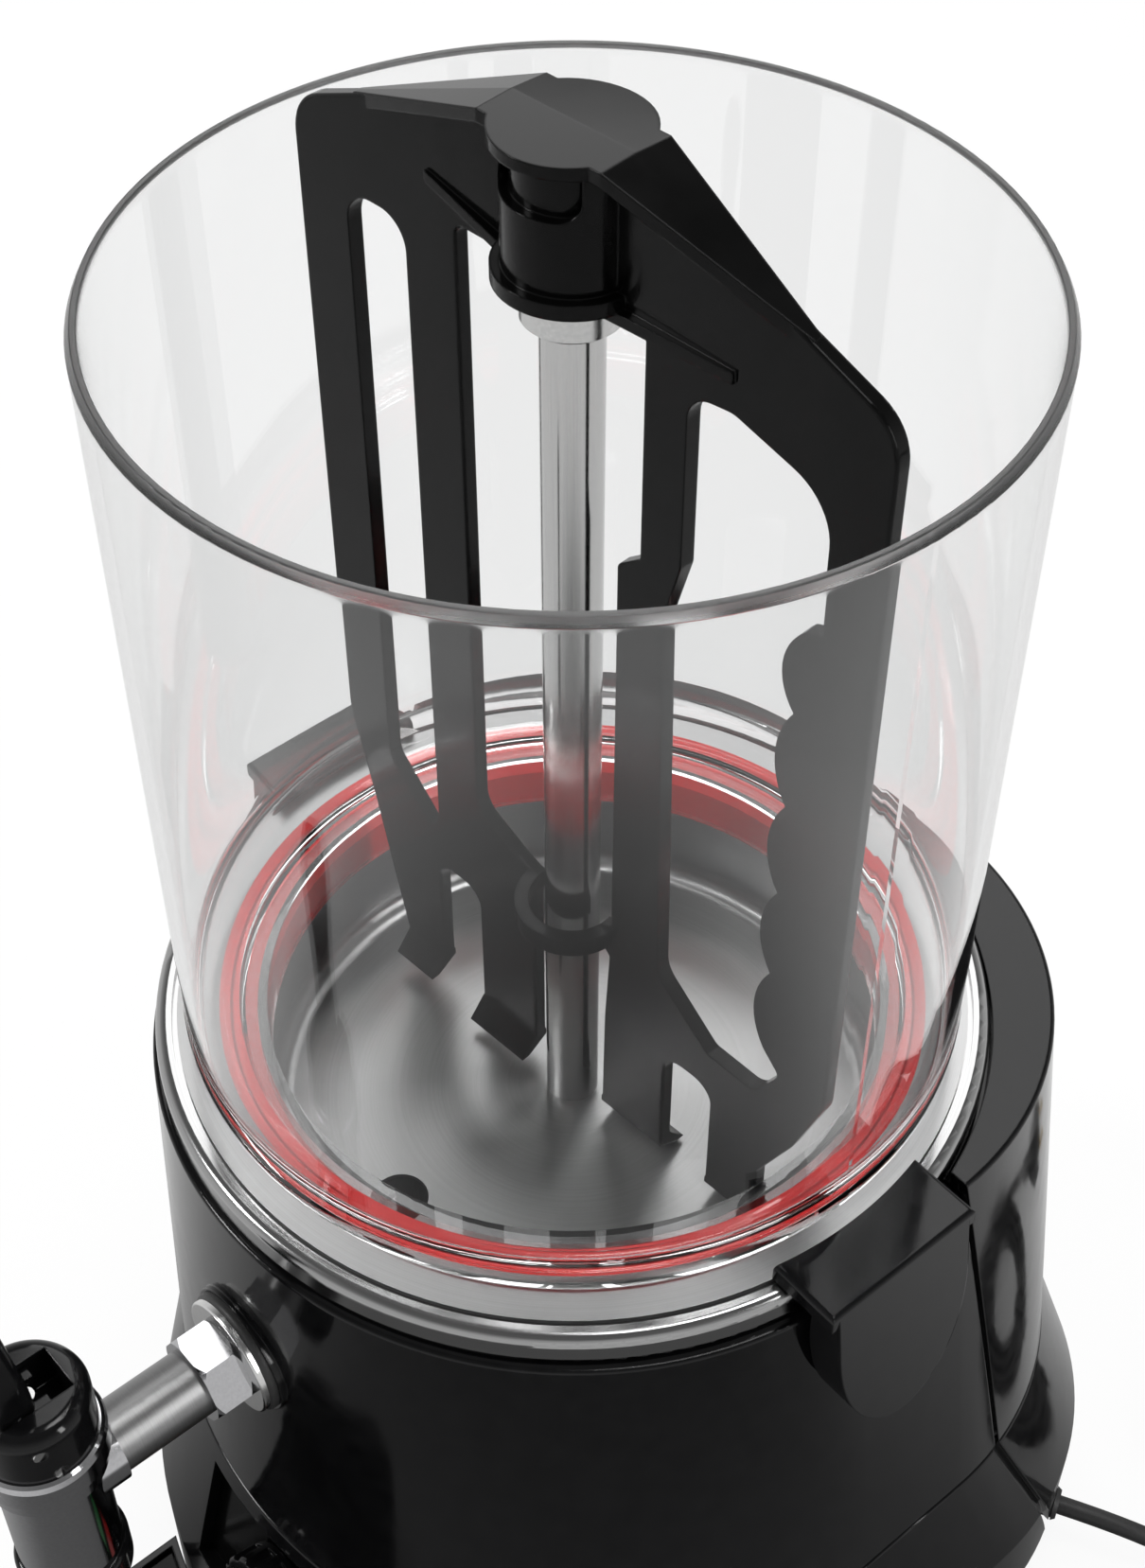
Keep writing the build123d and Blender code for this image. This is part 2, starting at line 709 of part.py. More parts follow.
def drive_shaft():
    """Shaft through the standpipe, flatted at the top where the paddle sits."""
    top = HUB_Z + SHAFT_TOP_REACH
    shaft = disc(SHAFT_R, SHAFT_FOOT_Z, top)
    flat = span(-SHAFT_R, SHAFT_R, SHAFT_FLAT, SHAFT_R + 1, HUB_Z + SHAFT_FLAT_UP, top + 1)
    return chamfer(shaft.edges().group_by(Axis.Z)[0], 0.5) - Rot(0, 0, PADDLE_TURN) * flat


def toothed(teeth, z0, z1):
    """Spur wheel with straight-flanked teeth, one tooth on +X."""
    pitch_r = MODULE * teeth / 2
    root = pitch_r - 1.25 * MODULE
    tip = pitch_r + 0.85 * MODULE
    step = 2 * pi / teeth
    points = []
    for i in range(teeth):
        for radius, share in ((root, -0.32), (tip, -0.10), (tip, 0.10), (root, 0.32)):
            angle = (i + share) * step
            points.append((radius * cos(angle), radius * sin(angle)))
    face = make_face(Polyline(*points, close=True))
    return extrude(Pos(0, 0, z0) * face, z1 - z0)


def drive_gear():
    wheel = toothed(GEAR_TEETH, GEAR_Z, GEAR_Z + GEAR_THICK)
    hub = disc(GEAR_HUB_R, GEAR_Z, GEAR_Z + GEAR_THICK + GEAR_HUB_HEIGHT)
    return wheel + hub - disc(SHAFT_R, GEAR_Z - 1, GEAR_Z + FAR)


def motor_pinion():
    """Pinion on the motor's shaft, with a gap towards the drive gear."""
    wheel = Rot(0, 0, 180.0 / PINION_TEETH) * toothed(PINION_TEETH, GEAR_Z, GEAR_Z + GEAR_THICK)
    low = CHASSIS_TOP_Z - PLATE_THICK - MOTOR_SHAFT_DEPTH
    shaft = disc(MOTOR_SHAFT_R, low, GEAR_Z + GEAR_THICK + GEAR_LIFT)
    return Pos(0, GEAR_DISTANCE, 0) * (wheel + shaft)


def motor_screw_places():
    turns = [radians(angle) for angle in (0, 90, 180, 270)]
    return [(MOTOR_SCREW_RING * cos(turn), GEAR_DISTANCE + MOTOR_SCREW_RING * sin(turn)) for turn in turns]


def gear_motor():
    """Geared motor hung under the chassis plate."""
    top = CHASSIS_TOP_Z - PLATE_THICK
    middle = top - GEARBOX_LENGTH
    bottom = middle - MOTOR_LENGTH
    body = disc(GEARBOX_R, middle, top) + disc(MOTOR_R, bottom, middle)
    body += disc(MOTOR_R * 1.06, bottom + MOTOR_LENGTH / 7, bottom + MOTOR_LENGTH / 4)
    bore = disc(MOTOR_SHAFT_R + RUNNING_FIT, top - MOTOR_SHAFT_DEPTH - 1, top + 1)
    motor = Pos(0, GEAR_DISTANCE, 0) * (body - bore)
    for x, y in motor_screw_places():
        motor -= disc(MOTOR_SCREW_R, top - MOTOR_SCREW_DEPTH - 1, top + 1, x, y)
    return motor


def chassis_plate():
    """Steel deck between the base and the housing."""
    bottom = CHASSIS_TOP_Z - PLATE_THICK
    plate = extrude(plan_face(plan_at(WAIST_Z), bottom, WALL + 0.6), PLATE_THICK)
    plate -= disc(MOTOR_SHAFT_R + 2, bottom - 1, CHASSIS_TOP_Z + 1, y=GEAR_DISTANCE)
    for x, y in motor_screw_places():
        plate -= disc(MOTOR_SCREW_R, bottom - 1, CHASSIS_TOP_Z + 1, x, y)
    return plate


def motor_screws():
    low = CHASSIS_TOP_Z - PLATE_THICK - MOTOR_SCREW_DEPTH
    head = CHASSIS_TOP_Z + 1.5 * MOTOR_SCREW_R
    return [
        disc(2 * MOTOR_SCREW_R, CHASSIS_TOP_Z, head, x, y) + disc(MOTOR_SCREW_R, low, CHASSIS_TOP_Z, x, y)
        for x, y in motor_screw_places()
    ]


def thrust_pad():
    """Plastic pad under the shaft's end."""
    pad = disc(THRUST_R, CHASSIS_TOP_Z, CHASSIS_TOP_Z + THRUST_HEIGHT)
    return pad - disc(SHAFT_R + RUNNING_FIT, SHAFT_FOOT_Z - SEAT_GAP, FAR)


# Paddle


def at_hub(x, up):
    return (x, 0, HUB_Z + up)


def at_floor(x, up):
    return (x, 0, PAN_FLOOR_Z + up)


def rounded_face(corners):
    """Face from corner points that each carry a rounding radius."""
    points = [corner[0] for corner in corners]
    radii = [corner[1] for corner in corners]
    return make_face(FilletPolyline(*points, radius=radii, close=True))


def roof_up(x):
    return HUB_HEIGHT - ROOF_SLOPE * (abs(x) - ROOF_FLAT)


def left_blade():
    """Two-bar arm with its two legs."""
    out = -LEFT_REACH
    top = HUB_HEIGHT - ROOF_PROUD
    (outer, outer_in), (inner_out, inner) = LEFT_LEGS
    outer_foot, inner_foot = (LEG_FOOT + lift for lift in LEFT_LIFTS)
    loop = LOOP_BORE_R + 0.5
    body = rounded_face([
        (at_hub(-8, top), 0), (at_hub(-ROOF_FLAT, top), 2),
        (at_hub(out, roof_up(out) - ROOF_PROUD), SHOULDER_ROUND), (at_floor(out, 101), 20),
        (at_floor(outer - 13, 69), 12), (at_floor(outer - 4, 30), 4),
        (at_floor(outer, outer_foot), 1), (at_floor(outer_in, outer_foot), 1),
        (at_floor(outer_in, LEFT_ARCH), 7), (at_floor(inner_out, LEFT_ARCH), 7),
        (at_floor(inner_out, inner_foot), 1),
        (at_floor(inner, inner_foot), 1), (at_floor(inner, LOOP_FLOOR - 4), 0),
        (at_floor(-loop, LOOP_FLOOR), 0), (at_floor(-loop, LOOP_FLOOR + LOOP_HEIGHT), 0),
        (at_floor(inner - 7, LOOP_FLOOR + LOOP_HEIGHT + 3), 6),
        (at_floor(inner_out + 1, 98), 8), (at_hub(inner_out + 1, WEB_BOTTOM), 3),
        (at_hub(-8, WEB_BOTTOM), 0),
    ])
    slot_out, slot_in = LEFT_SLOT
    slot = rounded_face([
        (at_hub(slot_out, SLOT_TOP), 9), (at_hub(slot_in, SLOT_TOP), 9), (at_floor(slot_in, 81), 3),
        (at_floor(slot_in - 3.5, 73), 2), (at_floor(slot_out, 92), 6),
    ])
    return soft_plate(body) - plate(slot)


def scallop_edges():
    """Lobed inner edge of the right blade, from the top valley down to the pocket."""
    valley = HUB_Z + SCALLOP_TOP - SCALLOP_FIRST
    pocket = PAN_FLOOR_Z + POCKET_FLOOR
    count = max(1, int((valley - pocket) / SCALLOP_PITCH))
    first = HUB_Z + SCALLOP_TOP - 2.0
    edges = [ThreePointArc((SCALLOP_VALLEY + 1, 0, first), (SCALLOP_LOBE, 0, (first + valley) / 2),
                           (SCALLOP_VALLEY, 0, valley))]
    for i in range(count):
        top = valley - i * SCALLOP_PITCH
        edges.append(ThreePointArc((SCALLOP_VALLEY, 0, top), (SCALLOP_LOBE, 0, top - SCALLOP_PITCH / 2),
                                   (SCALLOP_VALLEY, 0, top - SCALLOP_PITCH)))
    return edges


def right_opening():
    """Tall opening between the inner bar and the scalloped blade."""
    edges = scallop_edges()
    start = edges[-1] @ 1
    end = edges[0] @ 0
    inner, outer = RIGHT_SLOT
    path = [
        start, at_floor(outer, POCKET_FLOOR - 6), at_floor(outer - 8, 65), at_floor(outer - 26, 66),
        at_floor(inner - 2.5, 84), at_hub(inner - 5.2, -82), at_hub(inner, -63), at_hub(inner, -12),
        at_hub(inner + 13.5, SLOT_TOP - 1), at_hub(outer, SLOT_TOP - 9.5), at_hub(outer, SCALLOP_TOP), end,
    ]
    radii = [3, 5, 3, 10, 6, 4, 8, 8, 16, 2]
    return make_face(edges + FilletPolyline(*path, radius=radii).edges())


def right_blade():
    """Scalloped arm with its two legs."""
    out = RIGHT_REACH
    top = HUB_HEIGHT - ROOF_PROUD
    (inner, inner_out), (outer_in, outer) = RIGHT_LEGS
    loop = LOOP_BORE_R + 0.5
    body = rounded_face([
        (at_hub(8, top), 0), (at_hub(ROOF_FLAT, top), 2),
        (at_hub(out, roof_up(out) - ROOF_PROUD), SHOULDER_ROUND), (at_floor(out, 78), 10),
        (at_floor(outer + 11, 52), 6), (at_floor(outer, 30), 4), (at_floor(outer, LEG_FOOT), 1),
        (at_floor(outer_in, LEG_FOOT), 1), (at_floor(outer_in, RIGHT_ARCH), 7),
        (at_floor(inner_out, RIGHT_ARCH), 7), (at_floor(inner_out, LEG_FOOT), 1),
        (at_floor(inner, LEG_FOOT), 1), (at_floor(inner + 0.5, 48), 4),
        (at_floor(inner + 2, LOOP_FLOOR - 4), 0),
        (at_floor(loop, LOOP_FLOOR), 0), (at_floor(loop, LOOP_FLOOR + LOOP_HEIGHT), 0),
        (at_floor(inner + 2.5, LOOP_FLOOR + LOOP_HEIGHT + 3), 0), (at_hub(inner + 2.5, -74), 2),
        (at_hub(inner + 10, -68), 2),
        (at_hub(inner + 10, WEB_BOTTOM), 3), (at_hub(8, WEB_BOTTOM), 0),
    ])
    return soft_plate(body) - plate(right_opening())


def plate(face):
    return extrude(face, BLADE_THICK / 2, both=True)


def soft_plate(face):
    """Plate of a face, with both its face outlines rounded over."""
    sides = plate(face).faces().filter_by(Axis.Y)
    return fillet(sides.edges(), BLADE_ROUND)


def roof_line():
    """Outline of the paddle's top, from the left run-out to the right one."""
    places = (-ROOF_REACH, -ROOF_FLAT, ROOF_FLAT, ROOF_REACH)
    return [(x, HUB_Z + min(HUB_HEIGHT, roof_up(x))) for x in places]


def roof():
    """Flange along the top, wide at the hub and running out to the blade's thickness."""
    tip = BLADE_THICK / 2 - ROOF_RUNOUT
    wide = ROOF_HALF_WIDTH
    near = [(-ROOF_REACH, -tip), (-ROOF_FLAT, -wide), (ROOF_FLAT, -wide), (ROOF_REACH, -tip)]
    plan = near + [(x, -y) for x, y in reversed(near)]
    prism = extrude(Pos(0, 0, HUB_Z - HUB_HEIGHT) * make_face(Polyline(*plan, close=True)), FAR)
    line = roof_line()
    slab = line + [(x, z - ROOF_THICK) for x, z in reversed(line)]
    return prism & front_prism(slab, wide + 1)


def ridge_cut(way):
    """Wedge above one half of the paddle's top, which falls away from the ridge."""
    line = roof_line()
    high = HUB_Z + 2 * HUB_HEIGHT
    corners = [(x, 0, z) for x, z in line] + [(ROOF_REACH, 0, high), (-ROOF_REACH, 0, high)]
    return extrude(make_face(Polyline(*corners, close=True)), 2 * HUB_DISC_R, dir=(0, way, -RIDGE_FALL))


def ribs():
    """Ribs along the web's lower edge, from the hub's flange outwards, rising on the left."""
    tip = BLADE_THICK / 2 + 1
    wide = RIB_HALF_WIDTH
    near = [(-RIB_LEFT_REACH, -tip), (-RIB_ROOT, -wide), (RIB_ROOT, -wide), (RIB_REACH, -tip)]
    plan = near + [(x, -y) for x, y in reversed(near)]
    prism = extrude(Pos(0, 0, HUB_Z - HUB_HEIGHT) * make_face(Polyline(*plan, close=True)), FAR)
    low = HUB_Z + WEB_BOTTOM
    line = [(-RIB_LEFT_REACH, low + RIB_LEFT_RISE), (-RIB_ROOT, low), (RIB_REACH, low)]
    slab = line + [(x, z + RIB_THICK) for x, z in reversed(line)]
    return prism & front_prism(slab, wide + 1)


def scraper(x0, x1, way, lift):
    """Slanted foot that sweeps the pan's floor, leaning to one side."""
    half = BLADE_THICK / 2
    base = PAN_FLOOR_Z + lift
    low = base + SCRAPER_LIFT
    high = base + SCRAPER_RISE
    edge = half + SCRAPER_SWEEP
    outline = [
        (-way * half, high), (way * half, high), (way * edge, low), (way * (edge - SCRAPER_THICK), low),
        (-way * half, base + LEG_FOOT),
    ]
    return side_prism(outline, x0, x1)


def hub():
    """Hub with a top disc, a lower flange and a shallow recess in its front."""
    top = HUB_Z + HUB_HEIGHT
    body = disc(HUB_R, HUB_Z, top)
    body += disc(HUB_DISC_R, top - HUB_DISC_THICK, top)
    body += disc(HUB_DISC_R, HUB_Z, HUB_Z + HUB_FLANGE_THICK)
    outline = rounded_face([
        (at_hub(-RECESS_HALF, RECESS_LOW), RECESS_ROUND), (at_hub(RECESS_HALF, RECESS_LOW), RECESS_ROUND),
        (at_hub(RECESS_HALF, RECESS_HIGH), 0), (at_hub(-RECESS_HALF, RECESS_HIGH), 0),
    ])
    skin = tube(HUB_R + 1, HUB_R - RECESS_DEPTH, HUB_Z, top)
    return body - (skin & extrude(outline, HUB_DISC_R, dir=(0, -1, 0)))


def guide_loop():
    """Half ring round the standpipe's front, joining the two arms low down."""
    low = PAN_FLOOR_Z + LOOP_FLOOR
    ring = tube(LOOP_R, LOOP_BORE_R, low, low + LOOP_HEIGHT)
    return ring & span(-LOOP_R, LOOP_R, -LOOP_R, BLADE_THICK / 2, low, low + LOOP_HEIGHT)


def paddle():
    """Stirring paddle, one moulding, at its rest angle about the axis."""
    body = left_blade() + right_blade()
    body += roof() + hub() + ribs() + guide_loop()
    for (x0, x1), lift in zip(LEFT_LEGS, LEFT_LIFTS):
        body += scraper(x0, x1, -1, lift)
    for x0, x1 in RIGHT_LEGS:
        body += scraper(x0, x1, 1, 0)
    body -= ridge_cut(-1)
    body -= ridge_cut(1)
    bore = disc(SHAFT_R + 2 * RUNNING_FIT, HUB_Z - 1, HUB_Z + SHAFT_TOP_REACH + SEAT_GAP)
    flat = SHAFT_FLAT + 2 * RUNNING_FIT
    bore -= span(-SHAFT_R - 1, SHAFT_R + 1, flat, SHAFT_R + 2, HUB_Z + SHAFT_FLAT_UP + 1, HUB_Z + FAR)
    return Rot(0, 0, PADDLE_TURN) * (body - bore - disc(LOOP_BORE_R, PAN_FLOOR_Z, HUB_Z))


# Housing


def seam_y(z):
    """Where the parting between front and rear lies at a height."""
    if z >= WAIST_Z:
        return SEAM_TOP_Y + (SEAM_WAIST_Y - SEAM_TOP_Y) * (CROWN_Z - z) / HOUSING_HEIGHT
    return SEAM_WAIST_Y + (SEAM_FOOT_Y - SEAM_WAIST_Y) * (WAIST_Z - z) / BASE_HEIGHT


def seam_slab(z0, z1, ahead, behind):
    """Slab along X between two offsets from the parting line."""
    low = seam_y(z0)
    high = seam_y(z1)
    outline = [(low + ahead, z0), (low + behind, z0), (high + behind, z1), (high + ahead, z1)]
    return side_prism(outline, -FAR, FAR)


def upper_wall(top):
    """Wall of the upper housing standing on the base with a groove round its foot."""
    wall = soft_top(block(WAIST_Z + WAIST_GROOVE, top, 0)) - block(WAIST_Z, top, WALL)
    seat_z = WAIST_Z + 2 * WAIST_GROOVE
    return wall + block(WAIST_Z, seat_z, WAIST_GROOVE_DEPTH) - block(WAIST_Z, seat_z, WALL)


def bead_flange():
    """Inward flange that the jacket's bead rests on."""
    flange = block(BEAD_Z - FLANGE_THICK, BEAD_Z, WALL / 2)
    return flange - disc(JACKET_R + SEAM_GAP, BEAD_Z - 2 * FLANGE_THICK, BEAD_Z + FLANGE_THICK)


def hinge_x():
    return plan_at(hinge_z()).side + HINGE_OFF


def hinge_z():
    return latch_bottom() + HINGE_R + HINGE_RISE


def latch_bottom():
    return BEAD_TOP_Z + LATCH_LIFT - LATCH_DROP


def hinge_tongue():
    """Tongue on the shell's side that carries a latch's pin."""
    x = hinge_x()
    z = hinge_z()
    inside = plan_at(z).side - WALL / 2
    web = span(inside, x, -HINGE_TONGUE, HINGE_TONGUE, z - HINGE_R, z + HINGE_R)
    eye = along_y(HINGE_R, -HINGE_TONGUE, HINGE_TONGUE, x, z)
    return web + eye - along_y(LATCH_PIN_R, -HINGE_TONGUE - 1, HINGE_TONGUE + 1, x, z)


def front_shell():
    """Front half of the upper housing, with the tap's boss and the latches' tongues."""
    front = seam_slab(WAIST_Z - 1, CROWN_Z + 1, -FAR, -SHELL_SEAM_GAP / 2)
    shell = (upper_wall(BEAD_Z) + bead_flange()) & front
    boss = along_y(BOSS_R, BOSS_Y, BOSS_Y + BOSS_DEPTH, 0, TAP_Z)
    shell += boss - block(WAIST_Z, CROWN_Z, WALL)
    shell -= along_y(BOSS_R, BOSS_Y - BOSS_DEPTH, BOSS_Y, 0, TAP_Z)
    shell -= along_y(TAP_PIPE_R, BOSS_Y - 1, BOSS_Y + 3 * BOSS_DEPTH, 0, TAP_Z)
    return shell + both_sides(hinge_tongue())


def rear_cover():
    """Rear half of the upper housing, with a flat top round the bead and vents at the back."""
    rear = seam_slab(WAIST_Z - 1, CROWN_Z + 1, SHELL_SEAM_GAP / 2, FAR)
    collar_r = BEAD_R + SEAM_GAP
    cover = upper_wall(CROWN_Z) + bead_flange()
    cover += soft_top(block(CROWN_Z - WALL, CROWN_Z, 0)) - disc(collar_r, BEAD_Z, CROWN_Z + 1)
    collar = tube(collar_r + WALL, collar_r, BEAD_Z - FLANGE_THICK, CROWN_Z - WALL / 2)
    cover += collar & block(WAIST_Z, CROWN_Z, WALL / 2)
    cover = cover & rear
    low = WAIST_Z + 2 * WAIST_GROOVE
    high = BEAD_Z - FLANGE_THICK - LAP_THICK
    lap = block(WAIST_Z, high, WALL) - block(WAIST_Z, high, WALL + LAP_THICK)
    cover += lap & seam_slab(low, high, -LAP_WIDTH, LAP_WIDTH)
    inside = CROWN.rear - 4 * WALL
    for i in range(VENT_COUNT):
        z = WAIST_Z + VENT_UP + i * VENT_PITCH
        cover -= span(-VENT_HALF, VENT_HALF, inside, FAR, z, z + VENT_TALL)
    for x in (COVER_SCREW_X, -COVER_SCREW_X):
        cover -= along_y(COVER_SCREW_R, inside, FAR, x, COVER_SCREW_Z)
    return cover


def cover_screws():
    """Screws through the back of the rear cover, with crossed slots."""
    seat = plan_at(COVER_SCREW_Z).rear + SCREW_STAND
    top = seat + SCREW_HEAD
    floor = top - SCREW_HEAD / 2
    z = COVER_SCREW_Z
    screws = []
    for x in (COVER_SCREW_X, -COVER_SCREW_X):
        screw = along_y(2 * COVER_SCREW_R, seat, top, x, z)
        screw += along_y(COVER_SCREW_R, seat - SCREW_LENGTH, seat, x, z)
        reach = 0.9 * COVER_SCREW_R
        thin = 0.2 * COVER_SCREW_R
        screw -= span(x - reach, x + reach, floor, top + 1, z - thin, z + thin)
        screw -= span(x - thin, x + thin, floor, top + 1, z - reach, z + reach)
        screws.append(screw)
    return screws


def base_wall():
    """Hollow wall of the base with ledges for the deck and the bottom plate."""
    wall = soft_top(base_block(PLATE_Z, WAIST_Z, 0)) - base_block(PLATE_Z, WAIST_Z, WALL)
    deck = CHASSIS_TOP_Z - PLATE_THICK
    for low in (deck - LEDGE_THICK, LEDGE_Z):
        high = low + LEDGE_THICK
        wall += base_block(low, high, WALL / 2) - base_block(low, high, WALL + LEDGE_WIDTH)
    return wall


def base_shell():
    """Front and sides of the base, with the recess for the control panel."""
    front = seam_slab(PLATE_Z - 1, WAIST_Z, -FAR, -BASE_SEAM_GAP / 2)
    shell = base_wall() & front
    tall = PANEL_TALL + 2 * PANEL_FRAME
    wide = PANEL_WIDTH + 2 * PANEL_FRAME
    frame = panel_box(0, 0, wide, tall, -PANEL_THICK - PANEL_FRAME, FAR)
    shell += frame & base_block(PLATE_Z, WAIST_Z - EDGE_ROUND, 0)
    shell -= panel_box(0, 0, PANEL_WIDTH, PANEL_TALL, -PANEL_THICK, FAR)
    ledge = 2 * PANEL_FRAME
    shell -= panel_box(0, 0, PANEL_WIDTH - ledge, PANEL_TALL - ledge, -FAR / 10, FAR)
    half = TONGUE_WIDTH / 2 + SLIDE_GAP
    front_y = -SKIRT.front
    low = TONGUE_Z - SLIDE_GAP
    high = TONGUE_Z + TONGUE_THICK + SLIDE_GAP
    for x in (TONGUE_X, -TONGUE_X):
        shell -= span(x - half, x + half, front_y - 1, front_y + 2 * TONGUE_REACH, low, high)
    return shell


def gland_frame():
    """Frame of the cord's exit: origin on the outer wall, Z pointing out."""
    x0 = SKIRT.side - SKIRT.corner
    y0 = SKIRT.rear - SKIRT.corner
    out = (cos(radians(GLAND_ANGLE)), sin(radians(GLAND_ANGLE)), 0)
    origin = (x0 + SKIRT.corner * out[0], y0 + SKIRT.corner * out[1], FOOT_HEIGHT + GLAND_UP)
    return Plane(origin=origin, x_dir=(-out[1], out[0], 0), z_dir=out)


def gland_cylinder(radius, z0, z1):
    """Cylinder along the cord's exit."""
    bar = Cylinder(radius, z1 - z0, align=(Align.CENTER, Align.CENTER, Align.MIN))
    return gland_frame().location * (Pos(0, 0, z0) * bar)


def gland_keepout():
    """Room for the gland's inner flange."""
    return gland_cylinder(GLAND_FLANGE_R + SLIDE_GAP, -6 * WALL, -WALL)


def gland_notch():
    """Notch in the skirt's lower edge that the gland sits in."""
    eye = gland_cylinder(GLAND_R, -2 * WALL, 2 * WALL)
    depth = 4 * GLAND_R
    slot = Box(2 * GLAND_R, depth, 4 * WALL, align=(Align.CENTER, Align.MAX, Align.CENTER))
    return eye + gland_frame().location * slot


def rear_skirt():
    """Rear of the base, lapped behind the front part."""
    rear = seam_slab(PLATE_Z - 1, WAIST_Z, BASE_SEAM_GAP / 2, FAR)
    skirt = base_wall() & rear
    low = LEDGE_Z + LEDGE_THICK + SLIDE_GAP
    high = CHASSIS_TOP_Z - PLATE_THICK - LEDGE_THICK - SEAM_GAP
    lap = base_block(low, high, WALL) - base_block(low, high, WALL + LAP_THICK)
    skirt += lap & seam_slab(low, high, -LAP_WIDTH, LAP_WIDTH)
    return skirt - gland_notch() - gland_keepout()


def base_plate():
    """Steel bottom plate with vents and the feet's screw holes."""
    plate = extrude(plan_face(SKIRT, PLATE_Z, WALL + SEAT_GAP), LEDGE_Z - PLATE_Z)
    for x, y in FEET:
        plate -= disc(FOOT_SCREW_R, PLATE_Z - 1, LEDGE_Z + 1, x, y)
    for i in range(PLATE_VENTS):
        y = (i - PLATE_VENTS / 2) * PLATE_VENT_PITCH
        plate -= span(-PLATE_VENT_HALF, PLATE_VENT_HALF, y, y + PLATE_VENT_WIDTH, PLATE_Z - 1, LEDGE_Z + 1)
    return plate - gland_cylinder(GLAND_FLANGE_R + SEAM_GAP, -6 * WALL, 0)


def rubber_feet():
    """Feet hollowed below for their screws' heads."""
    hollow = FOOT_SCREW_R + FOOT_HOLLOW
    foot = turned([
        (FOOT_SCREW_R, FOOT_WEB_Z), (hollow, FOOT_WEB_Z), (hollow, 0), (FOOT_R - FOOT_TAPER, 0),
        (FOOT_R, PLATE_Z), (FOOT_SCREW_R, PLATE_Z),
    ])
    return [Pos(x, y, 0) * foot for x, y in FEET]


def foot_screws():
    """Pan-head screws up through the feet."""
    head_r = FOOT_SCREW_R + FOOT_HOLLOW - SLIDE_GAP
    head_z = FOOT_WEB_Z / 2
    top = LEDGE_Z + 2 * FOOT_SCREW_R
    return [
        disc(head_r, head_z, FOOT_WEB_Z, x, y) + disc(FOOT_SCREW_R, FOOT_WEB_Z, top, x, y) for x, y in FEET
    ]


# Latches


def latch_outline(bottom, top):
    """Bar along X with the latch's D shape: straight sides over a half ellipse."""
    round_z = bottom + LATCH_D_ROUND
    plane = Plane(origin=(0, 0, round_z), x_dir=(0, 1, 0), z_dir=(1, 0, 0))
    bar = extrude(plane * Ellipse(LATCH_D_HALF, LATCH_D_ROUND), FAR)
    return bar + span(0, FAR, -LATCH_D_HALF, LATCH_D_HALF, round_z, top)


def latch():
    """Right-hand clip: a top plate over the bead and a D-shaped body on a pin."""
    hook_z = BEAD_TOP_Z + LATCH_LIFT
    top_z = hook_z + LATCH_TOP_THICK
    bottom = latch_bottom()
    x = hinge_x()
    z = hinge_z()
    clear = plan_at(BEAD_Z).side + LATCH_SIDE_GAP
    shoulder = top_z - LATCH_ROLL
    side = [
        (LATCH_OUT, shoulder), (LATCH_OUT + LATCH_LEAN, bottom), (x + LATCH_ROLL, bottom),
        (x + LATCH_ROLL, z), (x - HINGE_R, z), (x - HINGE_R, z + HINGE_R), (clear, BEAD_Z), (clear, shoulder),
    ]
    body = front_prism(side, LATCH_D_HALF) & latch_outline(bottom, top_z)
    hold_r = BEAD_R - LATCH_HOLD
    plate = span(hold_r / 2, LATCH_OUT, -LATCH_HALF_WIDTH, LATCH_HALF_WIDTH, hook_z, top_z)
    plate = fillet(plate.faces().sort_by(Axis.Z)[-1].edges(), LATCH_ROLL)
    body += plate - disc(hold_r, hook_z - 1, top_z + 1)
    body += along_y(HINGE_R, -HINGE_HALF, HINGE_HALF, x, z)
    slot = HINGE_TONGUE + SLIDE_GAP
    body -= span(x - HINGE_HALF, x + HINGE_R + SLIDE_GAP, -slot, slot, z - HINGE_HALF, z + 2 * HINGE_R)
    return body - along_y(LATCH_PIN_R + RUNNING_FIT, -HINGE_HALF, HINGE_HALF, x, z)


def latch_pins():
    reach = HINGE_HALF - SLIDE_GAP
    pin = along_y(LATCH_PIN_R, -reach, reach, hinge_x(), hinge_z())
    return [pin, mirror(pin, Plane.YZ)]


# Tap

TAP_Z = PAN_FLOOR_Z - SHEET - TAP_PIPE_R - DRAIN_GAP
BOSS_Y = -(plan_at(TAP_Z).front + BOSS_PROUD)
TAP_Y = BOSS_Y - TAP_REACH
BARREL_TOP_Z = TAP_Z + BARREL_TOP
BARREL_Z = TAP_Z - BARREL_BOTTOM
PIVOT_Y = TAP_Y - LEVER_ARM
PIVOT_Z = BARREL_TOP_Z + LEVER_PIVOT_UP
COVER_SCREW_Z = WAIST_Z + COVER_SCREW_UP


def outlet_pipe():
    """Pipe from the pan's drain, round an elbow and out to the tap."""
    end = TAP_Y + BARREL_R - PIPE_SINK

    def bent(radius, extra):
        shape = disc(radius, TAP_Z, PAN_FLOOR_Z - SHEET + extra, y=-DRAIN_R)
        shape += Pos(0, -DRAIN_R, TAP_Z) * Sphere(radius)
        return shape + along_y(radius, end - extra, -DRAIN_R, 0, TAP_Z)

    return bent(TAP_PIPE_R, 0) - bent(TAP_PIPE_BORE_R, 1)


def tap_gasket():
    ring = along_y(TAP_GASKET_R, BOSS_Y - TAP_GASKET_THICK, BOSS_Y, 0, TAP_Z)
    ring = fillet(ring.edges().group_by(Axis.Y)[0], TAP_GASKET_THICK * 0.6)
    return ring - along_y(TAP_PIPE_R, -FAR, 0, 0, TAP_Z)


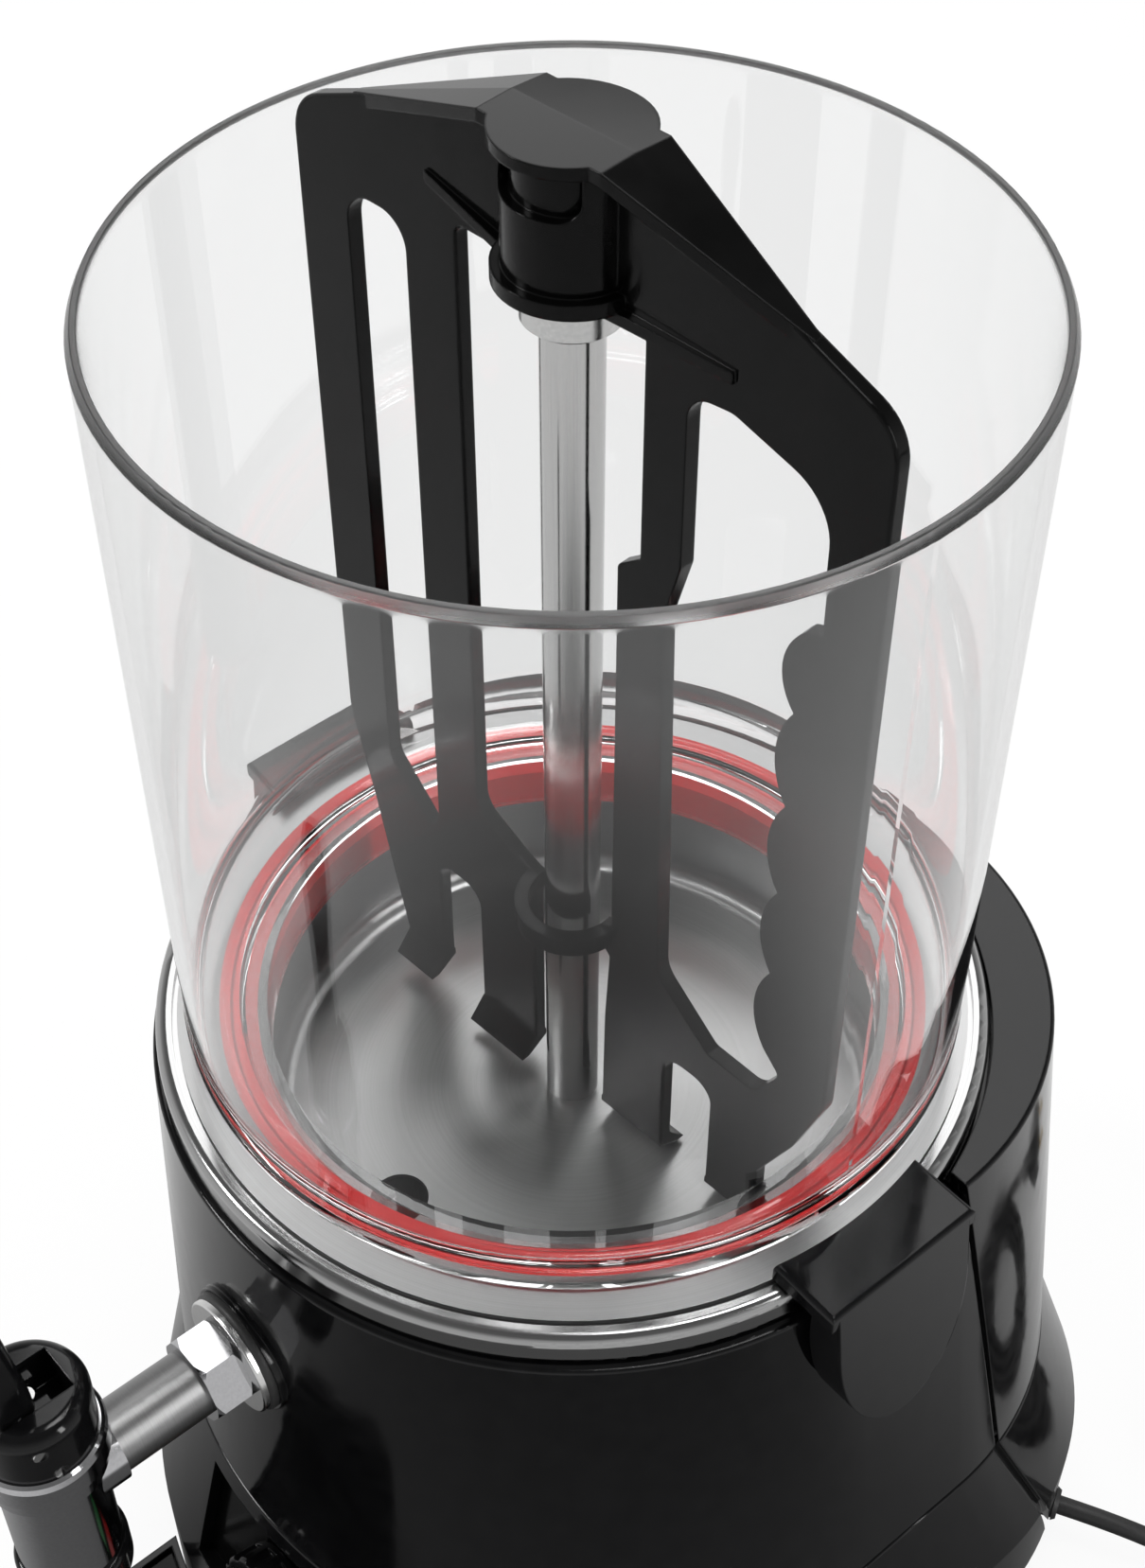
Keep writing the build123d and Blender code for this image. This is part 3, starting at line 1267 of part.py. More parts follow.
def tap_washer():
    y = BOSS_Y - TAP_GASKET_THICK
    ring = along_y(WASHER_R, y - WASHER_THICK, y, 0, TAP_Z)
    ring = fillet(ring.edges().group_by(Axis.Y)[0], WASHER_THICK * 0.4)
    return ring - along_y(TAP_PIPE_R, -FAR, 0, 0, TAP_Z)


def tap_nut():
    """Hexagon nut with both its ends chamfered."""
    y = BOSS_Y - TAP_GASKET_THICK - WASHER_THICK
    frame = Plane(origin=(0, y, TAP_Z), x_dir=(1, 0, 0), z_dir=(0, -1, 0))
    hexagon = extrude(frame * RegularPolygon(NUT_FLATS / 2, 6, major_radius=False), NUT_LENGTH)
    corner = NUT_FLATS / sqrt(3)
    ends = frame.location * (Pos(0, 0, NUT_LENGTH / 2) * Cylinder(corner, NUT_LENGTH))
    nut = hexagon & chamfer(ends.edges().filter_by(GeomType.CIRCLE), NUT_CHAMFER)
    return nut - along_y(TAP_PIPE_R, -FAR, 0, 0, TAP_Z)


def tap_body():
    """Upright barrel with a valve seat, a spout below and a flange on top."""
    seat = TAP_Z - SEAT_DROP
    spout = BARREL_Z - SPOUT_LENGTH
    top = BARREL_TOP_Z
    flange = top - BARREL_FLANGE
    barrel = turned([
        (SPOUT_BORE_R, spout), (SPOUT_R, spout), (SPOUT_R, BARREL_Z), (BARREL_R - 2, BARREL_Z),
        (BARREL_R, BARREL_Z + 3), (BARREL_R, flange - 3), (BARREL_FLANGE_R, flange), (BARREL_FLANGE_R, top),
        (CHAMBER_R, top), (CHAMBER_R, seat), (SPOUT_BORE_R, seat),
    ])
    barrel = Pos(0, TAP_Y, 0) * barrel
    neck = along_y(TAP_PIPE_R + NECK_SLEEVE, TAP_Y, TAP_Y + BARREL_R + 2 * NECK_SLEEVE, 0, TAP_Z)
    neck -= disc(CHAMBER_R, seat, top, y=TAP_Y)
    bore = along_y(TAP_PIPE_BORE_R, TAP_Y, TAP_Y + 2 * BARREL_R, 0, TAP_Z)
    return barrel + neck - bore - outlet_pipe()


def spout_collar():
    """Black collar pushed over the spout."""
    ring = disc(SPOUT_COLLAR_R, BARREL_Z - SPOUT_COLLAR_HEIGHT, BARREL_Z, y=TAP_Y)
    ring = fillet(ring.edges().filter_by(GeomType.CIRCLE), SPOUT_COLLAR_ROUND)
    return ring - disc(SPOUT_R, 0, FAR, y=TAP_Y)


def tap_bonnet():
    """Polished ring nut that holds the black cap down."""
    foot = BARREL_TOP_Z
    top = foot + BONNET_HEIGHT
    wall = BONNET_R - CAP_R
    ring = turned([
        (CAP_R, foot), (BONNET_R - wall / 2, foot), (BONNET_R, foot + wall / 2), (BONNET_R, top - 1.4 * wall),
        (BONNET_R - 0.3 * wall, top - 0.4 * wall), (BONNET_R - 0.8 * wall, top), (CAP_R, top),
    ])
    return Pos(0, TAP_Y, 0) * ring


def tap_cap():
    """Black cap with a slot for the lever's fork and a bore for the stem."""
    foot = BARREL_TOP_Z
    top = foot + CAP_HEIGHT
    cap = disc(CAP_R, foot, top, y=TAP_Y)
    cap = fillet(cap.edges().group_by(Axis.Z)[-1], CAP_DOME)
    cap -= disc(STEM_R + SLIDE_GAP, foot - 1, top + 1, y=TAP_Y)
    slot = LEVER_HALF_WIDTH + SLIDE_GAP
    floor = PIVOT_Z - LEVER_HUB_R - FORK_HALF / 2
    cap -= span(-slot, slot, TAP_Y - FAR, TAP_Y + LEVER_HUB_R + FORK_HALF, floor, top + 1)
    cap -= along_x(LEVER_PIN_R, -FAR, FAR, PIVOT_Y, PIVOT_Z)
    for screw in cap_screws():
        cap -= screw
    return cap


def cap_screws():
    """Grub screws through the cap's sides."""
    outer = sqrt(CAP_R ** 2 - CAP_SCREW_OFF ** 2)
    screw = along_x(CAP_SCREW_R, CAP_SCREW_X, outer, TAP_Y - CAP_SCREW_OFF, BARREL_TOP_Z + CAP_SCREW_UP)
    return [screw, mirror(screw, Plane.YZ)]


def lever_pin():
    reach = sqrt(CAP_R ** 2 - LEVER_ARM ** 2) - SEAT_GAP
    return along_x(LEVER_PIN_R, -reach, reach, PIVOT_Y, PIVOT_Z)


def lever_handle():
    """Handle that swells towards its top and leans to the front."""
    high = LEVER_HEIGHT
    sections = (
        (0.0, LEVER_NECK_HALF, LEVER_NECK_DEEP, 0.0), (0.15 * high, LEVER_NECK_HALF, LEVER_NECK_DEEP, 0.05),
        (0.5 * high, LEVER_GRIP_HALF, LEVER_GRIP_DEEP, 0.4),
        (0.9 * high, LEVER_TOP_HALF, LEVER_TOP_DEEP, 0.92),
        (high, LEVER_TOP_HALF * 0.6, LEVER_TOP_DEEP * 0.5, 1.0),
    )
    foot = PIVOT_Z + FORK_HALF - 1.0
    faces = []
    for up, wide, deep, lean in sections:
        outline = RectangleRounded(2 * wide, 2 * deep, 0.6 * min(wide, deep))
        faces.append(Pos(0, PIVOT_Y - LEVER_LEAN * lean, foot + up) * outline)
    return loft(faces)


def stem_room(turn):
    """Room for the stem between the fork's arms, with the lever turned."""
    front = LEVER_ARM - STEM_R - SLIDE_GAP
    room = span(-FORK_GAP, FORK_GAP, front, FAR, -2 * LEVER_HUB_R, STEM_TOP + LIFT + FORK_HALF)
    return Pos(0, PIVOT_Y, PIVOT_Z) * (Rot(-turn, 0, 0) * room)


def tap_lever():
    """Upright handle on a fork that lifts the stem's cross pin."""
    half = LEVER_HALF_WIDTH
    lever = along_x(LEVER_HUB_R, -half, half, PIVOT_Y, PIVOT_Z)
    lever += span(-half, half, PIVOT_Y, TAP_Y + FORK_HALF, PIVOT_Z - FORK_HALF, PIVOT_Z + FORK_HALF)
    lever += lever_handle()
    slot = STEM_PIN_R + FORK_PLAY
    slot_end = TAP_Y + slot + 2 * FORK_PLAY
    lever -= span(-half - 1, half + 1, TAP_Y - slot, slot_end, PIVOT_Z - slot, PIVOT_Z + slot)
    for turn in (0, LEVER_SWING / 2, LEVER_SWING):
        lever -= stem_room(turn)
    return lever - along_x(LEVER_PIN_R + RUNNING_FIT, -FAR, FAR, PIVOT_Y, PIVOT_Z)


def tap_stem():
    """Valve stem with a spring collar."""
    seat = TAP_Z - SEAT_DROP
    stem = disc(STEM_R, seat + SEAL_SOCKET, PIVOT_Z + STEM_TOP, y=TAP_Y)
    stem += disc(STEM_COLLAR_R, seat + SEAL_HEIGHT, seat + SEAL_HEIGHT + STEM_COLLAR_THICK, y=TAP_Y)
    return stem - along_x(STEM_PIN_R, -FAR, FAR, TAP_Y, PIVOT_Z)


def stem_pin():
    reach = LEVER_HALF_WIDTH - SLIDE_GAP
    return along_x(STEM_PIN_R, -reach, reach, TAP_Y, PIVOT_Z)


def tap_seal():
    """Silicone plug on the stem's foot, closing the seat."""
    seat = TAP_Z - SEAT_DROP
    top = seat + SEAL_HEIGHT
    socket = seat + SEAL_SOCKET
    low = seat + SEAT_GAP
    plug = turned([
        (0, low), (0.65 * SEAL_R, low), (SEAL_R, seat + SEAL_SOCKET / 2), (SEAL_R, top), (STEM_R, top),
        (STEM_R, socket), (0, socket),
    ])
    return Pos(0, TAP_Y, 0) * plug


def tap_spring():
    """Return spring round the stem, as its outer sleeve at the open length."""
    seat = TAP_Z - SEAT_DROP
    low = seat + SEAL_HEIGHT + STEM_COLLAR_THICK + LIFT + SLIDE_GAP
    return tube(SPRING_R, STEM_R + 2 * SLIDE_GAP, low, BARREL_TOP_Z, y=TAP_Y)


# Control panel

PANEL_Z = FOOT_HEIGHT + PANEL_UP
PANEL_LEAN = degrees(atan2(SKIRT.front - WAIST.front, WAIST_Z - SKIRT_Z))


def panel_frame():
    """Frame on the panel's face: X to the right, Y up the slope, Z outwards."""
    lean = radians(PANEL_LEAN)
    out = (0, -cos(lean), sin(lean))
    depth = PANEL_DEPTH / cos(lean)
    origin = (PANEL_X, -plan_at(PANEL_Z).front + depth, PANEL_Z)
    return Plane(origin=origin, x_dir=(1, 0, 0), z_dir=out)


def panel_box(x, y, wide, tall, z0, z1):
    box = Box(wide, tall, z1 - z0, align=(Align.CENTER, Align.CENTER, Align.MIN))
    return panel_frame().location * (Pos(x, y, z0) * box)


def panel_rod(x, y, radius, z0, z1):
    cylinder = Cylinder(radius, z1 - z0, align=(Align.CENTER, Align.CENTER, Align.MIN))
    return panel_frame().location * (Pos(x, y, z0) * cylinder)


def control_panel():
    """Flat plate with openings for two switches and the thermostat's knob."""
    plate = panel_box(0, 0, PANEL_WIDTH - SLIDE_GAP, PANEL_TALL - SLIDE_GAP, -PANEL_THICK, 0)
    for x in (HEAT_X, MIXER_X):
        plate -= panel_box(x, 0, SWITCH_WIDTH, SWITCH_TALL, -PANEL_THICK - 1, 1)
    return plate - panel_rod(KNOB_X, 0, KNOB_STEM_R + 1.5, -PANEL_THICK - 1, 1)


def switch_body(x):
    """Rocker switch body with a flange on the panel's face."""
    wide = SWITCH_WIDTH - 2 * SWITCH_WALL
    tall = SWITCH_TALL - 2 * SWITCH_WALL
    rim = 4 * SWITCH_WALL
    body = panel_box(x, 0, SWITCH_WIDTH, SWITCH_TALL, -SWITCH_DEPTH, 0)
    body += panel_box(x, 0, SWITCH_WIDTH + rim, SWITCH_TALL + rim, 0, SWITCH_FLANGE)
    body -= panel_box(x, 0, wide, tall, -SWITCH_DEPTH / 2, SWITCH_FLANGE + 1)
    return body - trunnion(x, TRUNNION_R + RUNNING_FIT)


def trunnion(x, radius):
    """Pivot of a rocker, along the panel's width."""
    frame = panel_frame().location
    length = SWITCH_WIDTH - 2 * SEAT_GAP
    return frame * (Pos(x, 0, -TRUNNION_SINK) * (Rot(0, 90, 0) * Cylinder(radius, length)))


def rocker(x):
    """Rocker key, resting on its off side."""
    half_wide = SWITCH_WIDTH / 2 - SWITCH_WALL - SLIDE_GAP
    half_tall = SWITCH_TALL / 2 - SWITCH_WALL - 2 * SLIDE_GAP
    outline = [
        (-half_tall, -1.0), (-half_tall, 5.6), (0, 3.8), (half_tall, 5.6), (half_tall, -1.0), (0, -3.6),
    ]
    face = make_face(Polyline(*[(-half_wide, y, z) for y, z in outline], close=True))
    key = extrude(face, 2 * half_wide, dir=(1, 0, 0))
    key = panel_frame().location * (Pos(x, 0, -TRUNNION_SINK) * (Rot(-ROCKER_TILT, 0, 0) * key))
    return key + trunnion(x, TRUNNION_R)


def thermostat_knob():
    """Knob with grip flutes, a pointer and its stem."""
    low = SWITCH_FLANGE
    knob = panel_rod(KNOB_X, 0, KNOB_R, low, KNOB_HEIGHT)
    knob = fillet(knob.edges().filter_by(GeomType.CIRCLE), KNOB_ROUND)
    for i in range(KNOB_FLUTES):
        angle = 2 * pi * (i + 0.5) / KNOB_FLUTES
        reach = KNOB_R + FLUTE_R / 2
        x = KNOB_X + reach * cos(angle)
        knob -= panel_rod(x, reach * sin(angle), FLUTE_R, low + FLUTE_R, KNOB_HEIGHT + 1)
    top = KNOB_HEIGHT
    knob += panel_box(KNOB_X, KNOB_R * 0.5, POINTER, KNOB_R * 0.8, top - POINTER, top + POINTER / 3)
    return knob + panel_rod(KNOB_X, 0, KNOB_STEM_R, -KNOB_STEM, low + POINTER)


def thermostat():
    """Thermostat behind the panel."""
    size = THERMOSTAT_SIZE
    body = panel_box(KNOB_X, 0, size, size, -PANEL_THICK - THERMOSTAT_DEPTH, -PANEL_THICK)
    return body - panel_rod(KNOB_X, 0, KNOB_STEM_R + RUNNING_FIT, -KNOB_STEM - 1, 1)


def terminal_block():
    """Screw terminals on the bottom plate beside the cord's entry."""
    x = SKIRT.side - TERMINAL_INSET[0]
    y = SKIRT.rear - TERMINAL_INSET[1]
    wide, deep, tall = TERMINAL_SIZE
    body = span(x, x + wide, y, y + deep, LEDGE_Z, LEDGE_Z + tall)
    for share in (1 / 6, 1 / 2, 5 / 6):
        body -= disc(wide / 7, LEDGE_Z + tall / 2, LEDGE_Z + tall + 1, x + wide / 2, y + deep * share)
    return body


# Drip tray


def tray_outline(inset, z0, z1):
    """Tray's plan: rounded in front, hollowed behind to follow the base."""
    half = TRAY_HALF_WIDTH - inset
    front = -SKIRT.front - TRAY_REACH + inset
    box = span(-half, half, front, -SKIRT.front / 2, z0, z1)
    corners = box.edges().filter_by(Axis.Z).group_by(Axis.Y)[0]
    box = fillet(corners, TRAY_ROUND - inset)
    return box - extrude(plan_face(SKIRT, z0 - 1, -TRAY_GAP - inset), z1 - z0 + 2)


def drip_tray():
    """Tray on low feet, located by two tongues in the base."""
    tray = tray_outline(0, TRAY_FOOT, TRAY_TOP)
    ledge = TRAY_TOP - GRID_SINK - GRID_THICK - SEAT_GAP
    tray -= tray_outline(TRAY_WALL, ledge, TRAY_TOP + 1)
    half = TONGUE_WIDTH / 2
    for x in (TONGUE_X, -TONGUE_X):
        wall_y = -SKIRT.front * sqrt(1 - (x / SKIRT.side) ** 2)
        start = wall_y - 2 * TRAY_WALL
        end = wall_y + TONGUE_REACH
        tray += span(x - half, x + half, start, end, TONGUE_Z, TONGUE_Z + TONGUE_THICK)
    tray -= tray_outline(TRAY_WALL + TRAY_LEDGE, TRAY_FOOT + TRAY_WALL, TRAY_TOP + 1)
    foot_x = TRAY_HALF_WIDTH - TRAY_FOOT_INSET
    for x in (foot_x, -foot_x):
        for y in (-SKIRT.front - TRAY_REACH + 2 * TRAY_FOOT_INSET, -SKIRT.front - TRAY_FOOT_INSET):
            tray += disc(TRAY_FOOT_R, SEAT_GAP, TRAY_FOOT + 1, x, y)
    return tray


def drip_grid():
    """Stainless plate with rows of slots."""
    z0 = TRAY_TOP - GRID_SINK - GRID_THICK
    grid = tray_outline(TRAY_WALL + SLIDE_GAP, z0, z0 + GRID_THICK)
    front = -SKIRT.front - TRAY_REACH + 1.4 * GRID_MARGIN
    rows = int((TRAY_REACH - 2.4 * GRID_MARGIN) / SLOT_PITCH)
    near = GRID_BRIDGE / 2
    far = TRAY_HALF_WIDTH - GRID_MARGIN
    for i in range(rows):
        y = front + i * SLOT_PITCH
        for x0, x1 in ((-far, -near), (near, far)):
            grid -= span(x0, x1, y, y + SLOT_WIDTH, z0 - 1, z0 + GRID_THICK + 1)
    return grid


# Mains cord


def cord_gland():
    """Grommet in the skirt's notch."""
    back = -WALL - SEAM_GAP
    ring = turned([
        (CORD_R, back - GLAND_PROUD), (GLAND_FLANGE_R, back - GLAND_PROUD), (GLAND_FLANGE_R, back),
        (GLAND_R, back), (GLAND_R, SEAT_GAP), (GLAND_FLANGE_R - 0.6, SEAT_GAP),
        (GLAND_FLANGE_R - 1.6, GLAND_PROUD), (CORD_R, GLAND_PROUD),
    ])
    return gland_frame().location * ring


def cord_start():
    frame = gland_frame()
    return frame.origin + frame.z_dir * GLAND_PROUD


def coil_point(angle):
    """Point of the coil after a given turn: in on the floor layer, out again on the upper one."""
    middle = COIL_TURNS * pi
    off = abs(angle - middle)
    steady = off if off > pi / 2 else off * off / pi + pi / 4
    radius = COIL_MID_R - COIL_PITCH * COIL_TURNS / 4 + COIL_PITCH * steady / (2 * pi)
    climb = sin(max(-pi / 2, min(pi / 2, angle - middle)))
    heading = radians(COIL_START_ANGLE) + angle
    x = COIL_CENTRE[0] + radius * cos(heading)
    y = COIL_CENTRE[1] + radius * sin(heading)
    return Vector(x, y, CORD_R + COIL_LIFT + COIL_PITCH * (1 + climb) / 2)


def coil_tangent(angle):
    step = 1e-4
    return (coil_point(angle + step) - coil_point(angle - step)).normalized()


def biarc(p0, t0, p1, t1):
    """Two arcs that join two points along given directions."""
    chord = p1 - p0
    both = t0 + t1
    turn = 2 * (1 - t0.dot(t1))
    reach = chord.dot(both)
    square = chord.dot(chord)
    arm = square / (2 * reach) if turn < 1e-6 else (sqrt(reach ** 2 + turn * square) - reach) / turn
    joint = (p0 + t0 * arm + p1 - t1 * arm) * 0.5
    middle = (p1 - t1 * arm - p0 - t0 * arm).normalized()
    return [TangentArc(p0, joint, tangent=t0), TangentArc(joint, p1, tangent=middle)]


def coil_start():
    return coil_point(0) - coil_tangent(0) * (2 * CORD_R)


def coil_end():
    """Point and direction where the coil's free end turns into the plug's lead."""
    last = 2 * pi * COIL_TURNS
    return coil_point(last), coil_tangent(last)


def plug_frame():
    """Frame of the plug's tail: Z pointing along the lead."""
    point, way = coil_end()
    tail = point + way * PLUG_LEAD
    tail = Vector(tail.X, tail.Y, PLUG_R + 0.2) + way * (2 * CORD_R)
    return Plane(origin=tail, x_dir=(-way.Y, way.X, 0), z_dir=way)


def coil_path():
    """Whole line of the coil, with straight ends one cord diameter long."""
    steps = ceil(COIL_TURNS * 4)
    angles = [2 * pi * COIL_TURNS * i / steps for i in range(steps + 1)]
    edges = [Line(coil_start(), coil_point(0))]
    for a0, a1 in zip(angles, angles[1:]):
        edges += biarc(coil_point(a0), coil_tangent(a0), coil_point(a1), coil_tangent(a1))
    point, way = coil_end()
    frame = plug_frame()
    lead = frame.origin - frame.z_dir * (2 * CORD_R)
    edges += biarc(point, way, lead, frame.z_dir)
    edges.append(Line(lead, frame.origin))
    return edges


def swept(edges):
    wire = Wire(edges)
    section = Plane(origin=wire @ 0, z_dir=wire % 0) * Circle(CORD_R)
    return sweep(section, path=wire), wire.length


def cord_route():
    return [cord_start()] + [Vector(*point) for point in CORD_RUN] + [coil_start()]


def power_cord():
    """Free stretch of the cord from the gland to the coil."""
    route = cord_route()
    radii = []
    for before, corner, after in zip(route, route[1:], route[2:]):
        turn = radians((corner - before).get_angle(after - corner))
        shorter = min((corner - before).length, (after - corner).length)
        radii.append(0.45 * shorter / tan(turn / 2))
    path = FilletPolyline(*route, radius=radii)
    cord, length = swept(path.edges())
    print("cord radii", [round(radius, 1) for radius in radii], "length", round(length, 1))
    return cord


def coil_gap():
    """Least gap between turns of the coil that aren't neighbours along the cord."""
    count = 700
    last = 2 * pi * COIL_TURNS
    points = [coil_point(last * i / count) for i in range(count + 1)]
    apart = int(count / COIL_TURNS / 2)
    least = FAR
    for i, point in enumerate(points):
        for other in points[i + apart:]:
            least = min(least, hypot(point.X - other.X, point.Y - other.Y, point.Z - other.Z))
    return least - 2 * CORD_R


def cord_coil():
    """Put-away length of the cord, wound in two layers."""
    coil, length = swept(coil_path())
    print("coil gap", round(coil_gap(), 2), "length", round(length, 1))
    return coil


def cord_tie():
    """Strap round the coil's turns."""
    low_r = COIL_MID_R - COIL_PITCH * COIL_TURNS / 4 + COIL_PITCH * 0.5 - CORD_R - TIE_GAP
    layers = int(COIL_TURNS / 2 - 0.5)
    high_r = low_r + COIL_PITCH * layers + 2 * (CORD_R + TIE_GAP)
    low_z = COIL_LIFT - TIE_GAP
    high_z = COIL_LIFT + COIL_PITCH + 2 * CORD_R + TIE_GAP
    half = TIE_WIDTH / 2
    inner = span(low_r, high_r, -half - 1, half + 1, low_z, high_z)
    out = TIE_THICK
    outer = span(low_r - out, high_r + out, -half, half, low_z - out, high_z + out)
    heading = COIL_START_ANGLE + 180 * COIL_TURNS + 180
    return Pos(*COIL_CENTRE, 0) * (Rot(0, 0, heading) * (outer - inner))


def plug_body():
    """Round two-pin plug lying on its side, with a tapered tail."""
    tail = PLUG_TAIL
    end = PLUG_TAIL + PLUG_BODY
    body = turned([
        (0, 0), (CORD_R + 1.5, 0), (CORD_R + 3, tail), (0.65 * PLUG_R, tail + 6), (0.82 * PLUG_R, tail + 14),
        (PLUG_R, tail + 20), (PLUG_R, end - 1), (PLUG_R - 1, end), (0, end),
    ])
    return plug_frame().location * body


def plug_pins():
    end = PLUG_TAIL + PLUG_BODY
    frame = plug_frame().location
    pins = []
    for side in (1, -1):
        pin = disc(PLUG_PIN_R, end, end + PLUG_PIN_LENGTH)
        pin = chamfer(pin.edges().group_by(Axis.Z)[-1], 0.8)
        pins.append(frame * (Pos(side * PLUG_PIN_SPACING / 2, 0, 0) * pin))
    return pins


PARTS = {
    "bowl": bowl,
    "bowl_gasket": bowl_gasket,
    "heating_pan": heating_pan,
    "water_jacket": water_jacket,
    "heater_element": heater_element,
    "thermal_cutout": thermal_cutout,
    "standpipe": standpipe,
    "standpipe_collar": standpipe_collar,
    "upper_bush": upper_bush,
    "lower_bush": lower_bush,
    "drive_shaft": drive_shaft,
    "drive_gear": drive_gear,
    "motor_pinion": motor_pinion,
    "gear_motor": gear_motor,
    "motor_screws": motor_screws,
    "chassis_plate": chassis_plate,
    "thrust_pad": thrust_pad,
    "paddle": paddle,
    "front_shell": front_shell,
    "rear_cover": rear_cover,
    "cover_screws": cover_screws,
    "base_shell": base_shell,
    "rear_skirt": rear_skirt,
    "base_plate": base_plate,
    "rubber_feet": rubber_feet,
    "foot_screws": foot_screws,
    "latch_right": latch,
    "latch_left": lambda: mirror(latch(), Plane.YZ),
    "latch_pins": latch_pins,
    "outlet_pipe": outlet_pipe,
    "tap_gasket": tap_gasket,
    "tap_washer": tap_washer,
    "tap_nut": tap_nut,
    "tap_body": tap_body,
    "spout_collar": spout_collar,
    "tap_bonnet": tap_bonnet,
    "tap_cap": tap_cap,
    "cap_screws": cap_screws,
    "lever_pin": lever_pin,
    "tap_lever": tap_lever,
    "tap_stem": tap_stem,
    "stem_pin": stem_pin,
    "tap_seal": tap_seal,
    "tap_spring": tap_spring,
    "control_panel": control_panel,
    "heat_switch": lambda: switch_body(HEAT_X),
    "mixer_switch": lambda: switch_body(MIXER_X),
    "heat_rocker": lambda: rocker(HEAT_X),
    "mixer_rocker": lambda: rocker(MIXER_X),
    "thermostat_knob": thermostat_knob,
    "thermostat": thermostat,
    "terminal_block": terminal_block,
    "drip_tray": drip_tray,
    "drip_grid": drip_grid,
    "cord_gland": cord_gland,
    "power_cord": power_cord,
    "cord_coil": cord_coil,
    "cord_tie": cord_tie,
    "plug_body": plug_body,
    "plug_pins": plug_pins,
}

for name, make in PARTS.items():
    shape = make()
    if isinstance(shape, list):
        shape = Compound(children=shape)
    export_step(Pos(0, -MIDDLE_Y, 0) * shape, f"parts/{name}.step")
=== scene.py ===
"""Studio scene of a countertop chocolate dispenser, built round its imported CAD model."""
import json
from math import cos, pi, radians, sin

import bmesh
import bpy
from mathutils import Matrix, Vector


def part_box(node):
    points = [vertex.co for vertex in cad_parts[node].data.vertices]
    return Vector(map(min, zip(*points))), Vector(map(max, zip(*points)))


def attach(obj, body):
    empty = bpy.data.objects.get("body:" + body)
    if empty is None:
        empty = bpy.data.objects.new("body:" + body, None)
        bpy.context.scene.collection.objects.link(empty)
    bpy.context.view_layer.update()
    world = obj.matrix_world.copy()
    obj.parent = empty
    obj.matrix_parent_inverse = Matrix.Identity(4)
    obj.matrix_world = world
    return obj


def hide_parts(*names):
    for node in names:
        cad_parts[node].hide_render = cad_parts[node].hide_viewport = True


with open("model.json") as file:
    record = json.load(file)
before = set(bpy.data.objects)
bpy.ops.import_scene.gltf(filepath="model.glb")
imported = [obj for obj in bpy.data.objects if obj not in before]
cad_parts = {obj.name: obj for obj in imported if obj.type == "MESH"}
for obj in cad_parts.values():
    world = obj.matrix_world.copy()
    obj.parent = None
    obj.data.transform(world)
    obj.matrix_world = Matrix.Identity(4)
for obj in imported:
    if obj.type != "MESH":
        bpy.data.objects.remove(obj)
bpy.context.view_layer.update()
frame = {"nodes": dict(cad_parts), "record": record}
NODES = frame["nodes"]
RECORD = frame["record"]

# The bowl's axis stands behind the row frame's origin
AXIS_Y = 0.038

# Camera, from the photograph
CAMERA_PLACE = (0.3518, -0.2614, 0.8362)
CAMERA_PITCH = 45.36
CAMERA_TURN = 49.6
CAMERA_LENS = 54.68
CAMERA_SENSOR = 36.0

# Mains cord
CORD_R = 0.0035
CORD_RUN = (
    (0.13996, 0.15642, 0.0170),
    (0.16100, 0.16810, 0.0170),
    (0.18675, 0.18540, 0.0052),
)
COIL_CENTRE = (0.188, 0.250)
COIL_START_ANGLE = -54.0
COIL_TURNS = 6.358
COIL_PITCH = 0.0077
COIL_MID_R = 0.0385
COIL_LIFT = 0.0017
COIL_STEPS_A_TURN = 24
PLUG_R = 0.0184
PLUG_LEAD = 0.034
PLUG_LIFT = 0.0002

# Strap round the coil
STRAP_WIDTH = 0.008
STRAP_THICK = 0.0009
STRAP_ROUND = 0.003
STRAP_CORNER_STEPS = 6
STRAP_EDGE = 0.3 * STRAP_THICK

# Moulded rim of the bowl
RIM_BAND = 0.005
RIM_FROST = 0.35

# Usual range of a noise
NOISE_LOW = 0.3
NOISE_HIGH = 0.7

# Control panel's way out and the knob's top along it
PANEL_OUT = (0, -0.96373, 0.26688)
KNOB_TOP = 0.1302

# Studio
FLOOR_HALF = 8.0
FLOOR_WHITE = 0.9
AMBIENT = 0.55
DARK_SPOT = (0.16, -0.10, 0)
NEAR_FLOOR = 0.20
FAR_FLOOR = 0.50
NEAR_SHADE = 0.06
FAR_SHADE = 0.90
SKY_SHADE = 0.20


def material(name):
    """New node material, with its tree and its main shader."""
    made = bpy.data.materials.new(name)
    made.use_nodes = True
    tree = made.node_tree
    return made, tree, tree.nodes["Principled BSDF"]


def node(tree, kind, **settings):
    """New node of a tree, with its settings."""
    made = tree.nodes.new(kind)
    for name, value in settings.items():
        setattr(made, name, value)
    return made


def stretched(tree, scale):
    """Places on the object in metres, multiplied along each axis."""
    places = node(tree, "ShaderNodeTexCoord")
    mapping = node(tree, "ShaderNodeMapping")
    mapping.inputs["Scale"].default_value = scale
    tree.links.new(places.outputs["Object"], mapping.inputs["Vector"])
    return mapping.outputs["Vector"]


